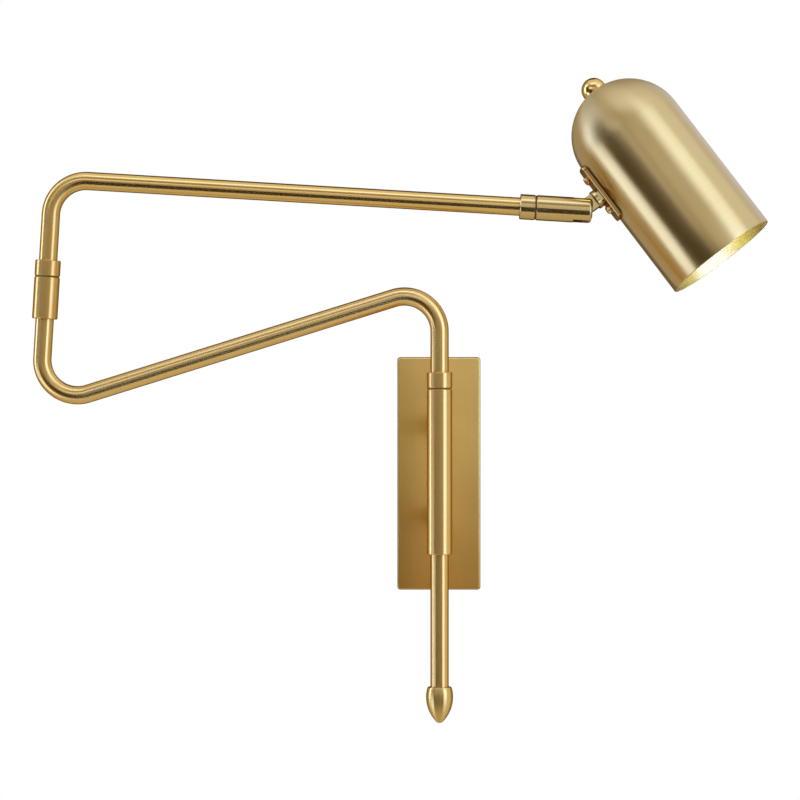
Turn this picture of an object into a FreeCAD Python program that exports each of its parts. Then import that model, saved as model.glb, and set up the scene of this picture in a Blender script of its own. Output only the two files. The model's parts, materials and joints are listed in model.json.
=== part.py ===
import FreeCAD, Part
import math
import os

import Sketcher

# Adjustable wall lamp: a canopy with a rod sleeve, two bent arms, a swivel knuckle and a shade.
# Origin: centre of the canopy's back on the wall. +X to the right along the wall, +Y into the wall, +Z up.
# Lengths are in millimetres and angles in degrees.

SIZES = {
    # Fits shared by all pieces
    "running_clearance": 0.05,  # radial, a piece that turns in or on another
    "seat_clearance": 0.04,  # radial, a piece that is fixed in or on another
    "side_gap": 0.3,  # from a moving piece to a wall that doesn't guide it
    "axial_play": 0.1,  # each side of a washer
    "edge_break": 0.5,  # chamfer on turned ends
    "overrun": 1,  # how far a cut runs past the face it opens
    # Canopy: pressed cover, open at the back
    "canopy_width": 60,
    "canopy_height": 168,
    "canopy_depth": 25,
    "canopy_wall": 1.2,
    "canopy_corner": 2.2,  # radius of its corners, seen from the front
    "canopy_round": 1.5,  # radius of its front edges
    "set_screw_diameter": 4,
    "set_screw_length": 5,
    "set_screw_drop": 26,  # side screws below the canopy's centre
    # Crossbar: strap on the wall behind the canopy
    "crossbar_width": 26,
    "crossbar_height": 130,
    "crossbar_thickness": 2,
    "crossbar_ear_height": 14,
    "crossbar_ear_depth": 14,
    "wall_screw_spacing": 100,
    "wall_slot_width": 5,
    "wall_slot_length": 12,
    "cable_hole_diameter": 16,
    "cable_hole_height": 22,
    "earth_screw_diameter": 4,
    "earth_screw_height": 37,
    "earth_head_diameter": 7.5,
    "earth_head_height": 2.6,
    "earth_washer_diameter": 9,
    "earth_washer_thickness": 0.8,
    # Terminal block
    "block_length": 24,
    "block_depth": 11,
    "block_height": 15,
    "block_drop": 3,
    "block_pole_pitch": 7.5,
    "block_row_pitch": 7,
    "block_screw_diameter": 3,
    "block_screw_length": 5,
    "block_wire_hole_diameter": 3.6,
    # Standoff posts between canopy and sleeve
    "post_diameter": 14,
    "post_length": 25,  # from the canopy's front to the sleeve's surface
    "post_spacing": 66,
    "post_nipple_depth": 12,
    "nipple_diameter": 10,
    "nipple_bore": 7,
    "nipple_nut_flats": 14,
    "nipple_nut_thickness": 3,
    "nipple_proud": 2,
    # Rod sleeve with its two bushings
    "sleeve_diameter": 18,  # also the rod collar, the elbow sleeve, both end collars and the knuckle barrel
    "sleeve_length": 117.2,
    "sleeve_centre_height": 2,
    "bushing_diameter": 15.4,
    "bushing_length": 15,
    "sleeve_relief": 0.5,  # radial, the sleeve's middle bore to the tube
    "washer_thickness": 0.6,
    "washer_inset": 0.5,  # radial, a joint washer inside the sleeve's outline
    # Tubes of both arms
    "tube_diameter": 13,
    "tube_wall": 1.2,
    "bend_radius": 25,
    # Lower arm
    "rod_below_origin": 150.6,
    "rod_collar_length": 11.2,
    "lower_bend_height": 135.5,  # where rod and lower arm would meet without a bend
    "lower_arm_angle": 17.35,  # below level, outwards from the rod
    "lower_arm_length": 297.7,  # between the same kind of corners
    "wire_window_width": 7,
    "wire_window_height": 22,
    # Acorn finial under the rod
    "finial_height": 25.7,
    "finial_top_diameter": 16.8,
    "finial_diameter": 19.2,
    "finial_shoulder": 7.1,
    "finial_round": 1,
    "finial_flank_radius": 26,
    "finial_tip_radius": 3.5,
    "finial_tip_rise": 1.9,
    "finial_thread_diameter": 6,
    "finial_thread_length": 11,
    "insert_length": 13,
    # Elbow
    "elbow_height": 94,  # from the lower arm's corner to the elbow joint, along the elbow's axis
    "elbow_lean_angle": 3.4,  # the elbow's axis leans to the right of upright
    "elbow_sleeve_length": 29.6,
    "elbow_bushing_length": 15,
    "elbow_collar_length": 11.2,
    "elbow_journal_diameter": 8,
    "elbow_journal_bore": 5,
    "elbow_shoulder_length": 20,
    "elbow_nut_thickness": 3,
    "elbow_nut_proud": 1,
    # Upper arm
    "upper_riser": 69.5,  # from the elbow joint to the upper arm's corner
    "upper_arm_length": 343.2,  # from that corner to the swivel joint
    "end_collar_length": 10.8,
    "swivel_insert_length": 14,
    "swivel_bolt_reach": 13,
    "swivel_journal_diameter": 6,
    "swivel_bolt_bore": 3.2,
    "swivel_head_height": 4,
    "spring_washer_thickness": 0.8,
    # Knuckle barrel, its rest angle about the arm and its pivot
    "head_swivel": 9.5,  # the shade's mouth turns this much to the viewer
    "barrel_length": 39.8,
    "barrel_floor": 6,
    "barrel_round": 2.5,
    "slot_width": 8.3,
    "slot_depth": 13.4,
    "pivot_inset": 7.5,  # from the barrel's end to the pivot
    "pivot_diameter": 4,
    "pivot_head_diameter": 7,
    "pivot_head_height": 2,
    "pivot_head_sink": 3,
    "pivot_thread_cover": 2.2,  # metal left in front of the pivot's blind hole
    "pivot_socket_flats": 2.5,
    "pivot_washer_thickness": 0.5,
    "pivot_washer_diameter": 9.6,
    # Tongue and its shoulder
    "shade_tilt": 50.4,  # the shade's axis below the arm's
    "tongue_width": 10.8,
    "shoulder_distance": 12,  # from the pivot
    "shoulder_diameter": 13.8,
    "shoulder_thickness": 2.5,
    "stem_diameter": 8,
    "stem_nut_flats": 12,
    "lock_nut_thickness": 2.5,
    "stem_nut_thickness": 3,
    "stem_proud": 1.5,
    # Shade and the strip that carries it
    "shade_radius": 41,
    "shade_wall": 1,
    "shade_rim": 87.3,  # past the strip's middle, along the shade's axis
    "shade_dome_base": 21.7,  # before the strip's middle
    "strip_shift": 1.8,  # from the stem to the strip's middle, towards the dome
    "strip_length": 45.4,
    "strip_width": 16,
    "strip_thickness": 1.9,
    "strip_corner": 4,
    "strip_screw_offset": 12.8,
    "strip_screw_diameter": 3,
    "strip_head_diameter": 6.3,
    "strip_head_height": 2.8,
    "strip_head_round": 1.4,
    "strip_nut_flats": 5.5,
    "strip_nut_thickness": 2.4,
    "strip_screw_proud": 1,
    # Cap nut on the dome and the nipple under it
    "cap_nut_diameter": 17.8,
    "cap_nut_height": 9.6,  # above the dome's top
    "holder_nipple_length": 16,
    "holder_nipple_depth": 6,  # the nipple's run inside the cap nut
    "holder_nipple_bore": 6,
    "holder_nut_thickness": 3,
    # Lamp holder and bulb
    "holder_diameter": 38,
    "holder_neck_wall": 1.6,
    "holder_neck_height": 7,
    "holder_length": 44,
    "holder_floor": 8,
    "shell_wall": 1,
    "shell_length": 30,
    "bulb_cap_diameter": 26,
    "bulb_cap_length": 26,
    "bulb_cap_taper": 4,
    "bulb_contact_diameter": 9,
    "bulb_neck_diameter": 24,
    "bulb_diameter": 50,
    "bulb_length": 64,
    "bulb_skirt_radius": 60,
    "bulb_join_angle": 35,  # where the round end meets the skirt, below its widest line
    "bulb_glass": 0.8,
}

doc = FreeCAD.newDocument("WallLamp")


class Size:
    """A length or angle: its value now, and the expression that ties it to the sheet."""

    def __init__(self, value, text):
        self.value = value
        self.text = text

    def __add__(self, other):
        return Size(self.value + as_size(other).value, f"({self.text} + {as_size(other).text})")

    def __sub__(self, other):
        return Size(self.value - as_size(other).value, f"({self.text} - {as_size(other).text})")

    def __mul__(self, factor):
        return Size(self.value * as_size(factor).value, f"({self.text} * {as_size(factor).text})")

    def __truediv__(self, divisor):
        return Size(self.value / divisor, f"({self.text} / {divisor})")

    def __neg__(self):
        return Size(-self.value, f"(0 - {self.text})")


def as_size(value):
    return value if isinstance(value, Size) else Size(value, repr(value))


def sine(angle):
    return Size(math.sin(math.radians(angle.value)), f"sin({angle.text})")


def cosine(angle):
    return Size(math.cos(math.radians(angle.value)), f"cos({angle.text})")


def tangent(angle):
    return Size(math.tan(math.radians(angle.value)), f"tan({angle.text})")


def leg(long_side, short_side):
    """The other leg of a right triangle, from its long side and one leg."""
    value = math.sqrt(long_side.value ** 2 - short_side.value ** 2)
    return Size(value, f"sqrt({long_side.text} ^ 2 - {short_side.text} ^ 2)")


def make_sheet():
    """Puts every driving size in the sheet under its own name."""
    sheet = doc.addObject("Spreadsheet::Sheet", "Params")
    for row, (name, value) in enumerate(SIZES.items(), start=1):
        sheet.set(f"A{row}", name.replace("_", " "))
        sheet.set(f"B{row}", str(value))
        sheet.setAlias(f"B{row}", name)
    doc.recompute()


def size(name):
    return Size(SIZES[name], f"Params.{name}")


ZERO = Size(0, "0")
OVERRUN = size("overrun")
RUNNING = size("running_clearance")
SEAT = size("seat_clearance")
SIDE_GAP = size("side_gap")
EDGE = size("edge_break")


class Frame:
    """A place and a direction, kept as an expression that the sheet drives."""

    def __init__(self, text):
        self.text = text

    def moved(self, x=ZERO, y=ZERO, z=ZERO):
        step = f"placement(vector({x.text}; {y.text}; {z.text}); rotation(vector(0; 0; 1); 0))"
        return Frame(f"{self.text} * {step}")

    def turned(self, axis, angle):
        turn = f"placement(vector(0; 0; 0); rotation(vector({axis}); {as_size(angle).text}))"
        return Frame(f"{self.text} * {turn}")


AXIS_X = "1; 0; 0"
AXIS_Y = "0; 1; 0"
AXIS_Z = "0; 0; 1"
WALL = Frame(f"placement(vector(0; 0; 0); rotation(vector({AXIS_Z}); 0))")

# Sizes and places that more than one piece uses
SLEEVE_RADIUS = size("sleeve_diameter") / 2
TUBE_RADIUS = size("tube_diameter") / 2
TUBE_BORE_RADIUS = TUBE_RADIUS - size("tube_wall")
TUBE_SEAT_RADIUS = TUBE_RADIUS + SEAT
TUBE_PLUG_RADIUS = TUBE_BORE_RADIUS - SEAT
WASHER_RADIUS = SLEEVE_RADIUS - size("washer_inset")
JOINT_GAP = size("washer_thickness") + size("axial_play") * 2
HALF_GAP = JOINT_GAP / 2
ARM_DISTANCE = size("canopy_depth") + size("post_length") + SLEEVE_RADIUS
SLEEVE_TOP = size("sleeve_centre_height") + size("sleeve_length") / 2
SLEEVE_BOTTOM = size("sleeve_centre_height") - size("sleeve_length") / 2
COLLAR_BOTTOM = SLEEVE_TOP + JOINT_GAP
BLIND_BUSHING_END = HALF_GAP + size("elbow_bushing_length")
CANOPY_INNER_HALF = size("canopy_width") / 2 - size("canopy_wall")
BARREL_END = HALF_GAP + size("barrel_length")
PIVOT_DISTANCE = BARREL_END - size("pivot_inset")
STRIP_FACE = size("shoulder_distance") + size("shoulder_thickness") + size("lock_nut_thickness")
SHADE_AXIS_DISTANCE = STRIP_FACE + size("strip_thickness") + size("seat_clearance") + size("shade_radius")
SHADE_INNER_RADIUS = size("shade_radius") - size("shade_wall")
NIPPLE_RADIUS = size("nipple_diameter") / 2

# Frames, each built on the one before it
ROD = WALL.moved(y=-ARM_DISTANCE)
LOWER_CORNER_X = size("lower_arm_length") * cosine(size("lower_arm_angle"))
LOWER_CORNER_Z = size("lower_bend_height") - size("lower_arm_length") * sine(size("lower_arm_angle"))
ELBOW_X = size("elbow_height") * sine(size("elbow_lean_angle")) - LOWER_CORNER_X
ELBOW_Z = size("elbow_height") * cosine(size("elbow_lean_angle")) + LOWER_CORNER_Z
ELBOW = ROD.moved(x=ELBOW_X, z=ELBOW_Z).turned(AXIS_Y, size("elbow_lean_angle"))
ARM_CORNER = ELBOW.moved(z=size("upper_riser")).turned(AXIS_Y, 90).turned(AXIS_Z, 180)
ARM_END = ARM_CORNER.moved(z=size("upper_arm_length"))
SWIVEL = ARM_END.turned(AXIS_Z, -size("head_swivel"))
PIVOT = SWIVEL.moved(z=PIVOT_DISTANCE)
HEAD = PIVOT.turned(AXIS_Y, -size("shade_tilt"))
STRIP = HEAD.moved(z=-size("strip_shift"))
SHADE = STRIP.moved(x=SHADE_AXIS_DISTANCE)


# Building blocks

def new_body(label, frame):
    body = doc.addObject("PartDesign::Body", label)
    body.Label = label
    body.setExpression("Placement", frame.text)
    return body


def sketch_on(body, role, name, offset=ZERO):
    """An empty sketch on one of the body's own origin planes, or at a distance from it."""
    sketch = body.newObject("Sketcher::SketchObject", f"{body.Name}_{name}")
    plane = next(feature for feature in body.Origin.OriginFeatures if feature.Role == role)
    sketch.AttachmentSupport = [(plane, "")]
    sketch.MapMode = "FlatFace"
    sketch.setExpression("AttachmentOffset.Base.z", offset.text)
    return sketch


def constrain(sketch, kind, places, length):
    """A dimension that follows the sheet, or stays at zero."""
    index = sketch.addConstraint(Sketcher.Constraint(kind, *places, length.value))
    if length.text != "0":
        sketch.setExpression(f"Constraints[{index}]", length.text)


def arc_between(first, last, radius):
    """An arc of the given radius, anticlockwise from first to last, or clockwise if it is negative."""
    chord = last - first
    side = math.copysign(1, radius)
    across = FreeCAD.Vector(-chord.y, chord.x, 0).normalize() * side
    height = math.sqrt(max(radius ** 2 - (chord.Length / 2) ** 2, 0))
    centre = (first + last) * 0.5 + across * height
    start, end = (first, last) if radius > 0 else (last, first)
    start_angle = math.atan2(start.y - centre.y, start.x - centre.x)
    end_angle = math.atan2(end.y - centre.y, end.x - centre.x)
    if end_angle < start_angle:
        end_angle += 2 * math.pi
    circle = Part.Circle(centre, FreeCAD.Vector(0, 0, 1), abs(radius))
    return Part.ArcOfCircle(circle, start_angle, end_angle)


def draw_path(sketch, corners, closed):
    """Edges from corner to corner. A third entry in a corner is the radius of the arc that leaves it."""
    points = [FreeCAD.Vector(corner[0].value, corner[1].value, 0) for corner in corners]
    edge_count = len(corners) if closed else len(corners) - 1
    first_index = sketch.GeometryCount
    ends = []
    for number in range(edge_count):
        corner, here, after = corners[number], points[number], points[(number + 1) % len(corners)]
        if len(corner) == 2:
            sketch.addGeometry(Part.LineSegment(here, after))
            ends.append((1, 2))
        else:
            sketch.addGeometry(arc_between(here, after, corner[2].value))
            ends.append((1, 2) if corner[2].value > 0 else (2, 1))
    for number in range(edge_count if closed else edge_count - 1):
        after = (number + 1) % edge_count
        joint = (first_index + number, ends[number][1], first_index + after, ends[after][0])
        sketch.addConstraint(Sketcher.Constraint("Coincident", *joint))
    for number in range(len(corners)):
        corner = corners[number]
        edge = min(number, edge_count - 1)
        end = ends[edge][0] if number == edge else ends[edge][1]
        constrain(sketch, "DistanceX", (-1, 1, first_index + edge, end), corner[0])
        constrain(sketch, "DistanceY", (-1, 1, first_index + edge, end), corner[1])
        if len(corner) == 3:
            radius = corner[2] if corner[2].value > 0 else -corner[2]
            constrain(sketch, "Radius", (first_index + number,), radius)


def draw_circle(sketch, radius, x=ZERO, y=ZERO):
    centre = FreeCAD.Vector(x.value, y.value, 0)
    index = sketch.addGeometry(Part.Circle(centre, FreeCAD.Vector(0, 0, 1), radius.value))
    constrain(sketch, "DistanceX", (-1, 1, index, 3), x)
    constrain(sketch, "DistanceY", (-1, 1, index, 3), y)
    constrain(sketch, "Radius", (index,), radius)


def revolve(body, sketch, kind="PartDesign::Revolution"):
    feature = body.newObject(kind, f"{sketch.Name}_turned")
    feature.Profile = sketch
    feature.ReferenceAxis = (sketch, ["V_Axis"])
    feature.Angle = 360
    return feature


def turned(label, frame, corners):
    """A piece turned on a lathe: corners are (radius, height along the frame's Z)."""
    body = new_body(label, frame)
    sketch = sketch_on(body, "XZ_Plane", "profile")
    draw_path(sketch, corners, closed=True)
    revolve(body, sketch)
    return body


def ring(label, frame, outer, inner, bottom, top, edge=None):
    """A turned ring, with broken outer edges where edge is given."""
    if edge is None:
        return turned(label, frame, [(inner, bottom), (outer, bottom), (outer, top), (inner, top)])
    corners = [(inner, bottom), (outer - edge, bottom), (outer, bottom + edge)]
    corners += [(outer, top - edge), (outer - edge, top), (inner, top)]
    return turned(label, frame, corners)


def pad(body, sketch, length, symmetric=False, kind="PartDesign::Pad"):
    feature = body.newObject(kind, f"{sketch.Name}_solid")
    feature.Profile = sketch
    feature.setExpression("Length", length.text)
    if symmetric:
        feature.SideType = "Symmetric"
    return feature


def rounded_rectangle(half_width, half_height, corner):
    """Outline with round corners, anticlockwise from the lower left."""
    x, y = half_width - corner, half_height - corner
    points = [(-x, -half_height), (x, -half_height, corner), (half_width, -y), (half_width, y, corner)]
    points += [(x, half_height), (-x, half_height, corner), (-half_width, y), (-half_width, -y, corner)]
    return points


def slot_outline(half_width, half_length, centre_y):
    """An upright slot with half-round ends, each end as two quarter arcs."""
    low, high = centre_y - half_length, centre_y + half_length
    round_low, round_high = low + half_width, high - half_width
    points = [(-half_width, round_low, half_width), (ZERO, low, half_width), (half_width, round_low)]
    points += [(half_width, round_high, half_width), (ZERO, high, half_width), (-half_width, round_high)]
    return points


def hexagon(flats):
    """Outline of a hexagon from the distance between its flats."""
    corner_radius = flats / math.sqrt(3)
    turns = [math.radians(60 * number) for number in range(6)]
    return [(corner_radius * math.cos(turn), corner_radius * math.sin(turn)) for turn in turns]


def hex_nut(label, frame, flats, bore_radius, bottom, thickness):
    body = new_body(label, frame)
    sketch = sketch_on(body, "XY_Plane", "profile", offset=bottom)
    draw_path(sketch, hexagon(flats), closed=True)
    draw_circle(sketch, bore_radius)
    pad(body, sketch, thickness)
    return body


def cylinder(body, kind, name, radius, height, frame):
    feature = body.newObject(f"PartDesign::{kind}Cylinder", f"{body.Name}_{name}")
    feature.setExpression("Radius", radius.text)
    feature.setExpression("Height", height.text)
    feature.setExpression("Placement", frame.text)
    return feature


def box(body, kind, name, sizes, centre):
    """A box of the given X, Y and Z sizes about its centre."""
    feature = body.newObject(f"PartDesign::{kind}Box", f"{body.Name}_{name}")
    for label, length in zip(("Length", "Width", "Height"), sizes):
        feature.setExpression(label, length.text)
    corner = [middle - length / 2 for middle, length in zip(centre, sizes)]
    feature.setExpression("Placement", WALL.moved(*corner).text)
    return feature


def group(label, members):
    """Like pieces that share one node."""
    compound = doc.addObject("Part::Compound", label)
    compound.Label = label
    compound.Links = members
    return compound


FLAT_TOLERANCE = 1e-4


def face_at(shape, axis, level):
    """Name of the flat face that lies at a level along X, Y or Z (0, 1 or 2)."""
    for number, face in enumerate(shape.Faces, start=1):
        low = (face.BoundBox.XMin, face.BoundBox.YMin, face.BoundBox.ZMin)[axis]
        high = (face.BoundBox.XMax, face.BoundBox.YMax, face.BoundBox.ZMax)[axis]
        if abs(low - level) < FLAT_TOLERANCE and abs(high - level) < FLAT_TOLERANCE:
            return f"Face{number}"
    raise ValueError(f"no face at {level}")


def edges_along(shape, axis):
    """Names of the shape's straight edges that run along the axis, 0 to 2."""
    names = []
    for number, edge in enumerate(shape.Edges, start=1):
        lengths = (edge.BoundBox.XLength, edge.BoundBox.YLength, edge.BoundBox.ZLength)
        if sum(lengths) - lengths[axis] < FLAT_TOLERANCE:
            names.append(f"Edge{number}")
    return names


def round_off(body, name, base, members, radius):
    """Rounds the named edges, or all edges of the named faces."""
    doc.recompute()
    fillet = body.newObject("PartDesign::Fillet", name)
    fillet.Base = (base, members)
    fillet.setExpression("Radius", radius.text)
    doc.recompute()
    return fillet


# Wall bracket

def make_canopy():
    """Pressed cover, open to the wall, with rounded corners and front edges, and holes for posts and screws."""
    body = new_body("canopy", WALL)
    depth = size("canopy_depth")
    block_sizes = (size("canopy_width"), depth, size("canopy_height"))
    block = box(body, "Additive", "block", block_sizes, (ZERO, -depth / 2, ZERO))
    doc.recompute()
    cornered = round_off(body, "canopy_corners", block, edges_along(block.Shape, 1), size("canopy_corner"))
    front = face_at(cornered.Shape, 1, -depth.value)
    pressed = round_off(body, "canopy_edges", cornered, [front], size("canopy_round"))
    shell = body.newObject("PartDesign::Thickness", "canopy_shell")
    shell.Base = (pressed, [face_at(pressed.Shape, 1, 0)])
    shell.setExpression("Value", size("canopy_wall").text)
    shell.Reversed = True
    shell.Mode = "Skin"
    shell.Join = "Intersection"
    doc.recompute()
    drill_depth = size("canopy_wall") + OVERRUN * 2
    for name, height in post_heights().items():
        hole = WALL.moved(y=OVERRUN - depth + size("canopy_wall"), z=height).turned(AXIS_X, 90)
        cylinder(body, "Subtractive", f"{name}_hole", NIPPLE_RADIUS + SEAT, drill_depth, hole)
    drill_side_screws(body)


def drill_side_screws(body):
    """One cut through both sides for the side screws."""
    start = WALL.moved(x=-size("canopy_width"), y=-ear_screw_depth(), z=-size("set_screw_drop"))
    radius = size("set_screw_diameter") / 2 + SEAT
    cylinder(body, "Subtractive", "screw_holes", radius, size("canopy_width") * 2, start.turned(AXIS_Y, 90))


def post_heights():
    middle = size("sleeve_centre_height")
    return {"upper": middle + size("post_spacing") / 2, "lower": middle - size("post_spacing") / 2}


def ear_screw_depth():
    return (size("crossbar_ear_depth") + size("crossbar_thickness")) / 2


def ear_outer_half():
    return CANOPY_INNER_HALF - SIDE_GAP


def make_crossbar():
    """Pressed strap with two wall slots, a cable hole and two ears for the side screws."""
    body = new_body("crossbar", WALL)
    half_width, half_height = size("crossbar_width") / 2, size("crossbar_height") / 2
    ear_half, ear_x, drop = size("crossbar_ear_height") / 2, ear_outer_half(), size("set_screw_drop")
    outline = [(-half_width, -half_height), (half_width, -half_height), (half_width, -drop - ear_half)]
    outline += [(ear_x, -drop - ear_half), (ear_x, ear_half - drop), (half_width, ear_half - drop)]
    outline += [(half_width, half_height), (-half_width, half_height), (-half_width, ear_half - drop)]
    outline += [(-ear_x, ear_half - drop), (-ear_x, -drop - ear_half), (-half_width, -drop - ear_half)]
    sketch = sketch_on(body, "XZ_Plane", "strap")
    draw_path(sketch, outline, closed=True)
    for height in (size("wall_screw_spacing") / 2, -size("wall_screw_spacing") / 2):
        slot = slot_outline(size("wall_slot_width") / 2, size("wall_slot_length") / 2, height)
        draw_path(sketch, slot, closed=True)
    draw_circle(sketch, size("cable_hole_diameter") / 2, y=size("cable_hole_height"))
    draw_circle(sketch, size("earth_screw_diameter") / 2 + SEAT, y=size("earth_screw_height"))
    pad(body, sketch, size("crossbar_thickness"))
    thickness, depth = size("crossbar_thickness"), size("crossbar_ear_depth")
    for side, name in ((-1, "left"), (1, "right")):
        centre = ((ear_x - thickness / 2) * side, -depth / 2, -drop)
        box(body, "Additive", f"{name}_ear", (thickness, depth, size("crossbar_ear_height")), centre)
    drill_side_screws(body)


def set_screw(label, frame, length):
    """Headless screw with a socket, its outer end at the frame's origin, running along +Z."""
    radius = size("set_screw_diameter") / 2
    socket, socket_depth = radius / 2, length / 2
    corners = [(ZERO, socket_depth), (socket, socket_depth), (socket, ZERO), (radius, ZERO)]
    corners += [(radius, length - socket), (radius - socket, length), (ZERO, length)]
    return turned(label, frame, corners)


def make_canopy_screws():
    half_width, drop = size("canopy_width") / 2, size("set_screw_drop")
    screws = []
    for side, name in ((1, "right"), (-1, "left")):
        place = WALL.moved(x=half_width * side, y=-ear_screw_depth(), z=-drop).turned(AXIS_Y, -90 * side)
        screws.append(set_screw(f"{name}_screw", place, size("set_screw_length")))
    group("canopy_screws", screws)


def make_earth_screw():
    """Earth screw and its washer on the crossbar's front."""
    place = WALL.moved(y=-size("crossbar_thickness"), z=size("earth_screw_height")).turned(AXIS_X, 90)
    radius, head = size("earth_screw_diameter") / 2, size("earth_head_diameter") / 2
    washer_top = size("earth_washer_thickness")
    head_top = washer_top + size("earth_head_height")
    tail = SIDE_GAP - size("crossbar_thickness")
    corners = [(ZERO, tail), (radius, tail), (radius, washer_top), (head, washer_top)]
    corners += [(head, head_top - radius / 2), (head - radius / 2, head_top), (ZERO, head_top)]
    turned("earth_screw", place, corners)
    ring("earth_washer", place, size("earth_washer_diameter") / 2, radius + SEAT, ZERO, washer_top)


def make_terminal_block():
    """Three-pole block: wires enter from above and below, screws from the front."""
    body = new_body("terminal_block", WALL)
    depth, drop = size("block_depth"), size("block_drop")
    back = size("crossbar_thickness")
    middle = back + depth / 2
    block_sizes = (size("block_length"), depth, size("block_height"))
    box(body, "Additive", "block", block_sizes, (ZERO, -middle, -drop))
    screws = []
    for pole in (-1, 0, 1):
        x = size("block_pole_pitch") * pole
        wire = WALL.moved(x=x, y=-middle, z=-drop - size("block_height"))
        radius = size("block_wire_hole_diameter") / 2
        cylinder(body, "Subtractive", f"wire_{pole + 1}", radius, size("block_height") * 2, wire)
        for row in (-1, 1):
            z = size("block_row_pitch") / 2 * row - drop
            front = WALL.moved(x=x, y=-back - depth, z=z).turned(AXIS_X, -90)
            radius = size("block_screw_diameter") / 2
            name, tip = f"{pole + 1}_{row + 1}", size("block_screw_length")
            hole = front.moved(z=-OVERRUN)
            cylinder(body, "Subtractive", f"screw_{name}", radius + SEAT, depth / 2 + OVERRUN, hole)
            corners = [(ZERO, ZERO), (radius, ZERO), (radius, tip), (ZERO, tip)]
            screws.append(turned(f"terminal_screw_{name}", front, corners))
    group("terminal_screws", screws)


def make_posts():
    """Two standoff posts, each coped to the sleeve and held on the canopy by a hollow nipple and a nut."""
    nuts = []
    front, flats = size("canopy_depth"), size("nipple_nut_flats")
    thickness = size("nipple_nut_thickness")
    nut_end = front - size("canopy_wall") - thickness
    nipple_start = -(size("canopy_wall") + thickness + size("nipple_proud"))
    bore, nipple_end = size("nipple_bore") / 2, size("post_nipple_depth")
    for name, height in post_heights().items():
        body = new_body(f"{name}_post", WALL)
        along = WALL.moved(y=-front, z=height).turned(AXIS_X, 90)
        cylinder(body, "Additive", "bar", size("post_diameter") / 2, ARM_DISTANCE - front, along)
        cope = WALL.moved(y=-ARM_DISTANCE, z=height - size("post_diameter"))
        cylinder(body, "Subtractive", "cope", SLEEVE_RADIUS + SEAT, size("post_diameter") * 2, cope)
        seat = along.moved(z=-OVERRUN)
        cylinder(body, "Subtractive", "thread", NIPPLE_RADIUS + SEAT, nipple_end + OVERRUN, seat)
        cylinder(body, "Subtractive", "wireway", bore, ARM_DISTANCE - front, along)
        ring(f"{name}_nipple", along, NIPPLE_RADIUS, bore, nipple_start, nipple_end)
        place = WALL.moved(y=-nut_end, z=height).turned(AXIS_X, 90)
        nuts.append(hex_nut(f"{name}_post_nut", place, flats, NIPPLE_RADIUS + SEAT, ZERO, thickness))
    group("nipple_nuts", nuts)


def make_sleeve():
    """Long sleeve with a stepped bore, a wire hole behind it, two bushings and the washer on top."""
    bushing_radius, length = size("bushing_diameter") / 2, size("bushing_length")
    seat, relief = bushing_radius + SEAT, TUBE_RADIUS + size("sleeve_relief")
    corners = [(relief, SLEEVE_BOTTOM + length), (seat, SLEEVE_BOTTOM + length), (seat, SLEEVE_BOTTOM)]
    corners += [(SLEEVE_RADIUS - EDGE, SLEEVE_BOTTOM), (SLEEVE_RADIUS, SLEEVE_BOTTOM + EDGE)]
    corners += [(SLEEVE_RADIUS, SLEEVE_TOP - EDGE), (SLEEVE_RADIUS - EDGE, SLEEVE_TOP)]
    corners += [(seat, SLEEVE_TOP), (seat, SLEEVE_TOP - length), (relief, SLEEVE_TOP - length)]
    body = turned("rod_sleeve", ROD, corners)
    wire = WALL.moved(z=post_heights()["upper"]).turned(AXIS_X, -90)
    cylinder(body, "Subtractive", "wire_hole", size("nipple_bore") / 2, SLEEVE_RADIUS + OVERRUN, wire)
    bore = TUBE_RADIUS + RUNNING
    ring("upper_bushing", ROD, bushing_radius, bore, SLEEVE_TOP - length, SLEEVE_TOP)
    ring("lower_bushing", ROD, bushing_radius, bore, SLEEVE_BOTTOM, SLEEVE_BOTTOM + length)
    washer_top = SLEEVE_TOP + size("axial_play") + size("washer_thickness")
    ring("rod_washer", ROD, WASHER_RADIUS, bore, SLEEVE_TOP + size("axial_play"), washer_top)


# Lower arm

def make_tube(label, frame, start, corners):
    """A bent tube: its path in the frame's XZ plane, its section at the path's start."""
    body = new_body(label, frame)
    path = sketch_on(body, "XZ_Plane", "path")
    draw_path(path, corners, closed=False)
    section = sketch_on(body, "XY_Plane", "section", offset=start)
    draw_circle(section, TUBE_RADIUS)
    draw_circle(section, TUBE_BORE_RADIUS)
    sweep = body.newObject("PartDesign::AdditivePipe", f"{label}_sweep")
    sweep.Profile = section
    sweep.Spine = path
    return body


def make_lower_tube():
    """Rod, lower arm and elbow stub in one tube with two bends, and a wire window inside the sleeve."""
    slope, lean, bend = size("lower_arm_angle"), size("elbow_lean_angle"), size("bend_radius")
    bottom = size("rod_below_origin")
    first_setback = bend * tangent((slope + 90) / 2)
    second_setback = bend * tangent((slope + lean + 90) / 2)
    first_z = bottom + size("lower_bend_height")
    second_x, second_z = -LOWER_CORNER_X, bottom + LOWER_CORNER_Z
    stub = size("elbow_height") - BLIND_BUSHING_END - SEAT
    corners = [
        (ZERO, ZERO),
        (ZERO, first_z - first_setback, bend),
        (-first_setback * cosine(slope), first_z - first_setback * sine(slope)),
        (second_x + second_setback * cosine(slope), second_z + second_setback * sine(slope), -bend),
        (second_x + second_setback * sine(lean), second_z + second_setback * cosine(lean)),
        (second_x + stub * sine(lean), second_z + stub * cosine(lean)),
    ]
    body = make_tube("lower_arm_tube", ROD.moved(z=-bottom), ZERO, corners)
    window = (size("wire_window_width"), TUBE_RADIUS, size("wire_window_height"))
    window_centre = (ZERO, TUBE_RADIUS / 2 + TUBE_BORE_RADIUS / 2, bottom + post_heights()["upper"])
    box(body, "Subtractive", "wire_window", window, window_centre)


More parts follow.
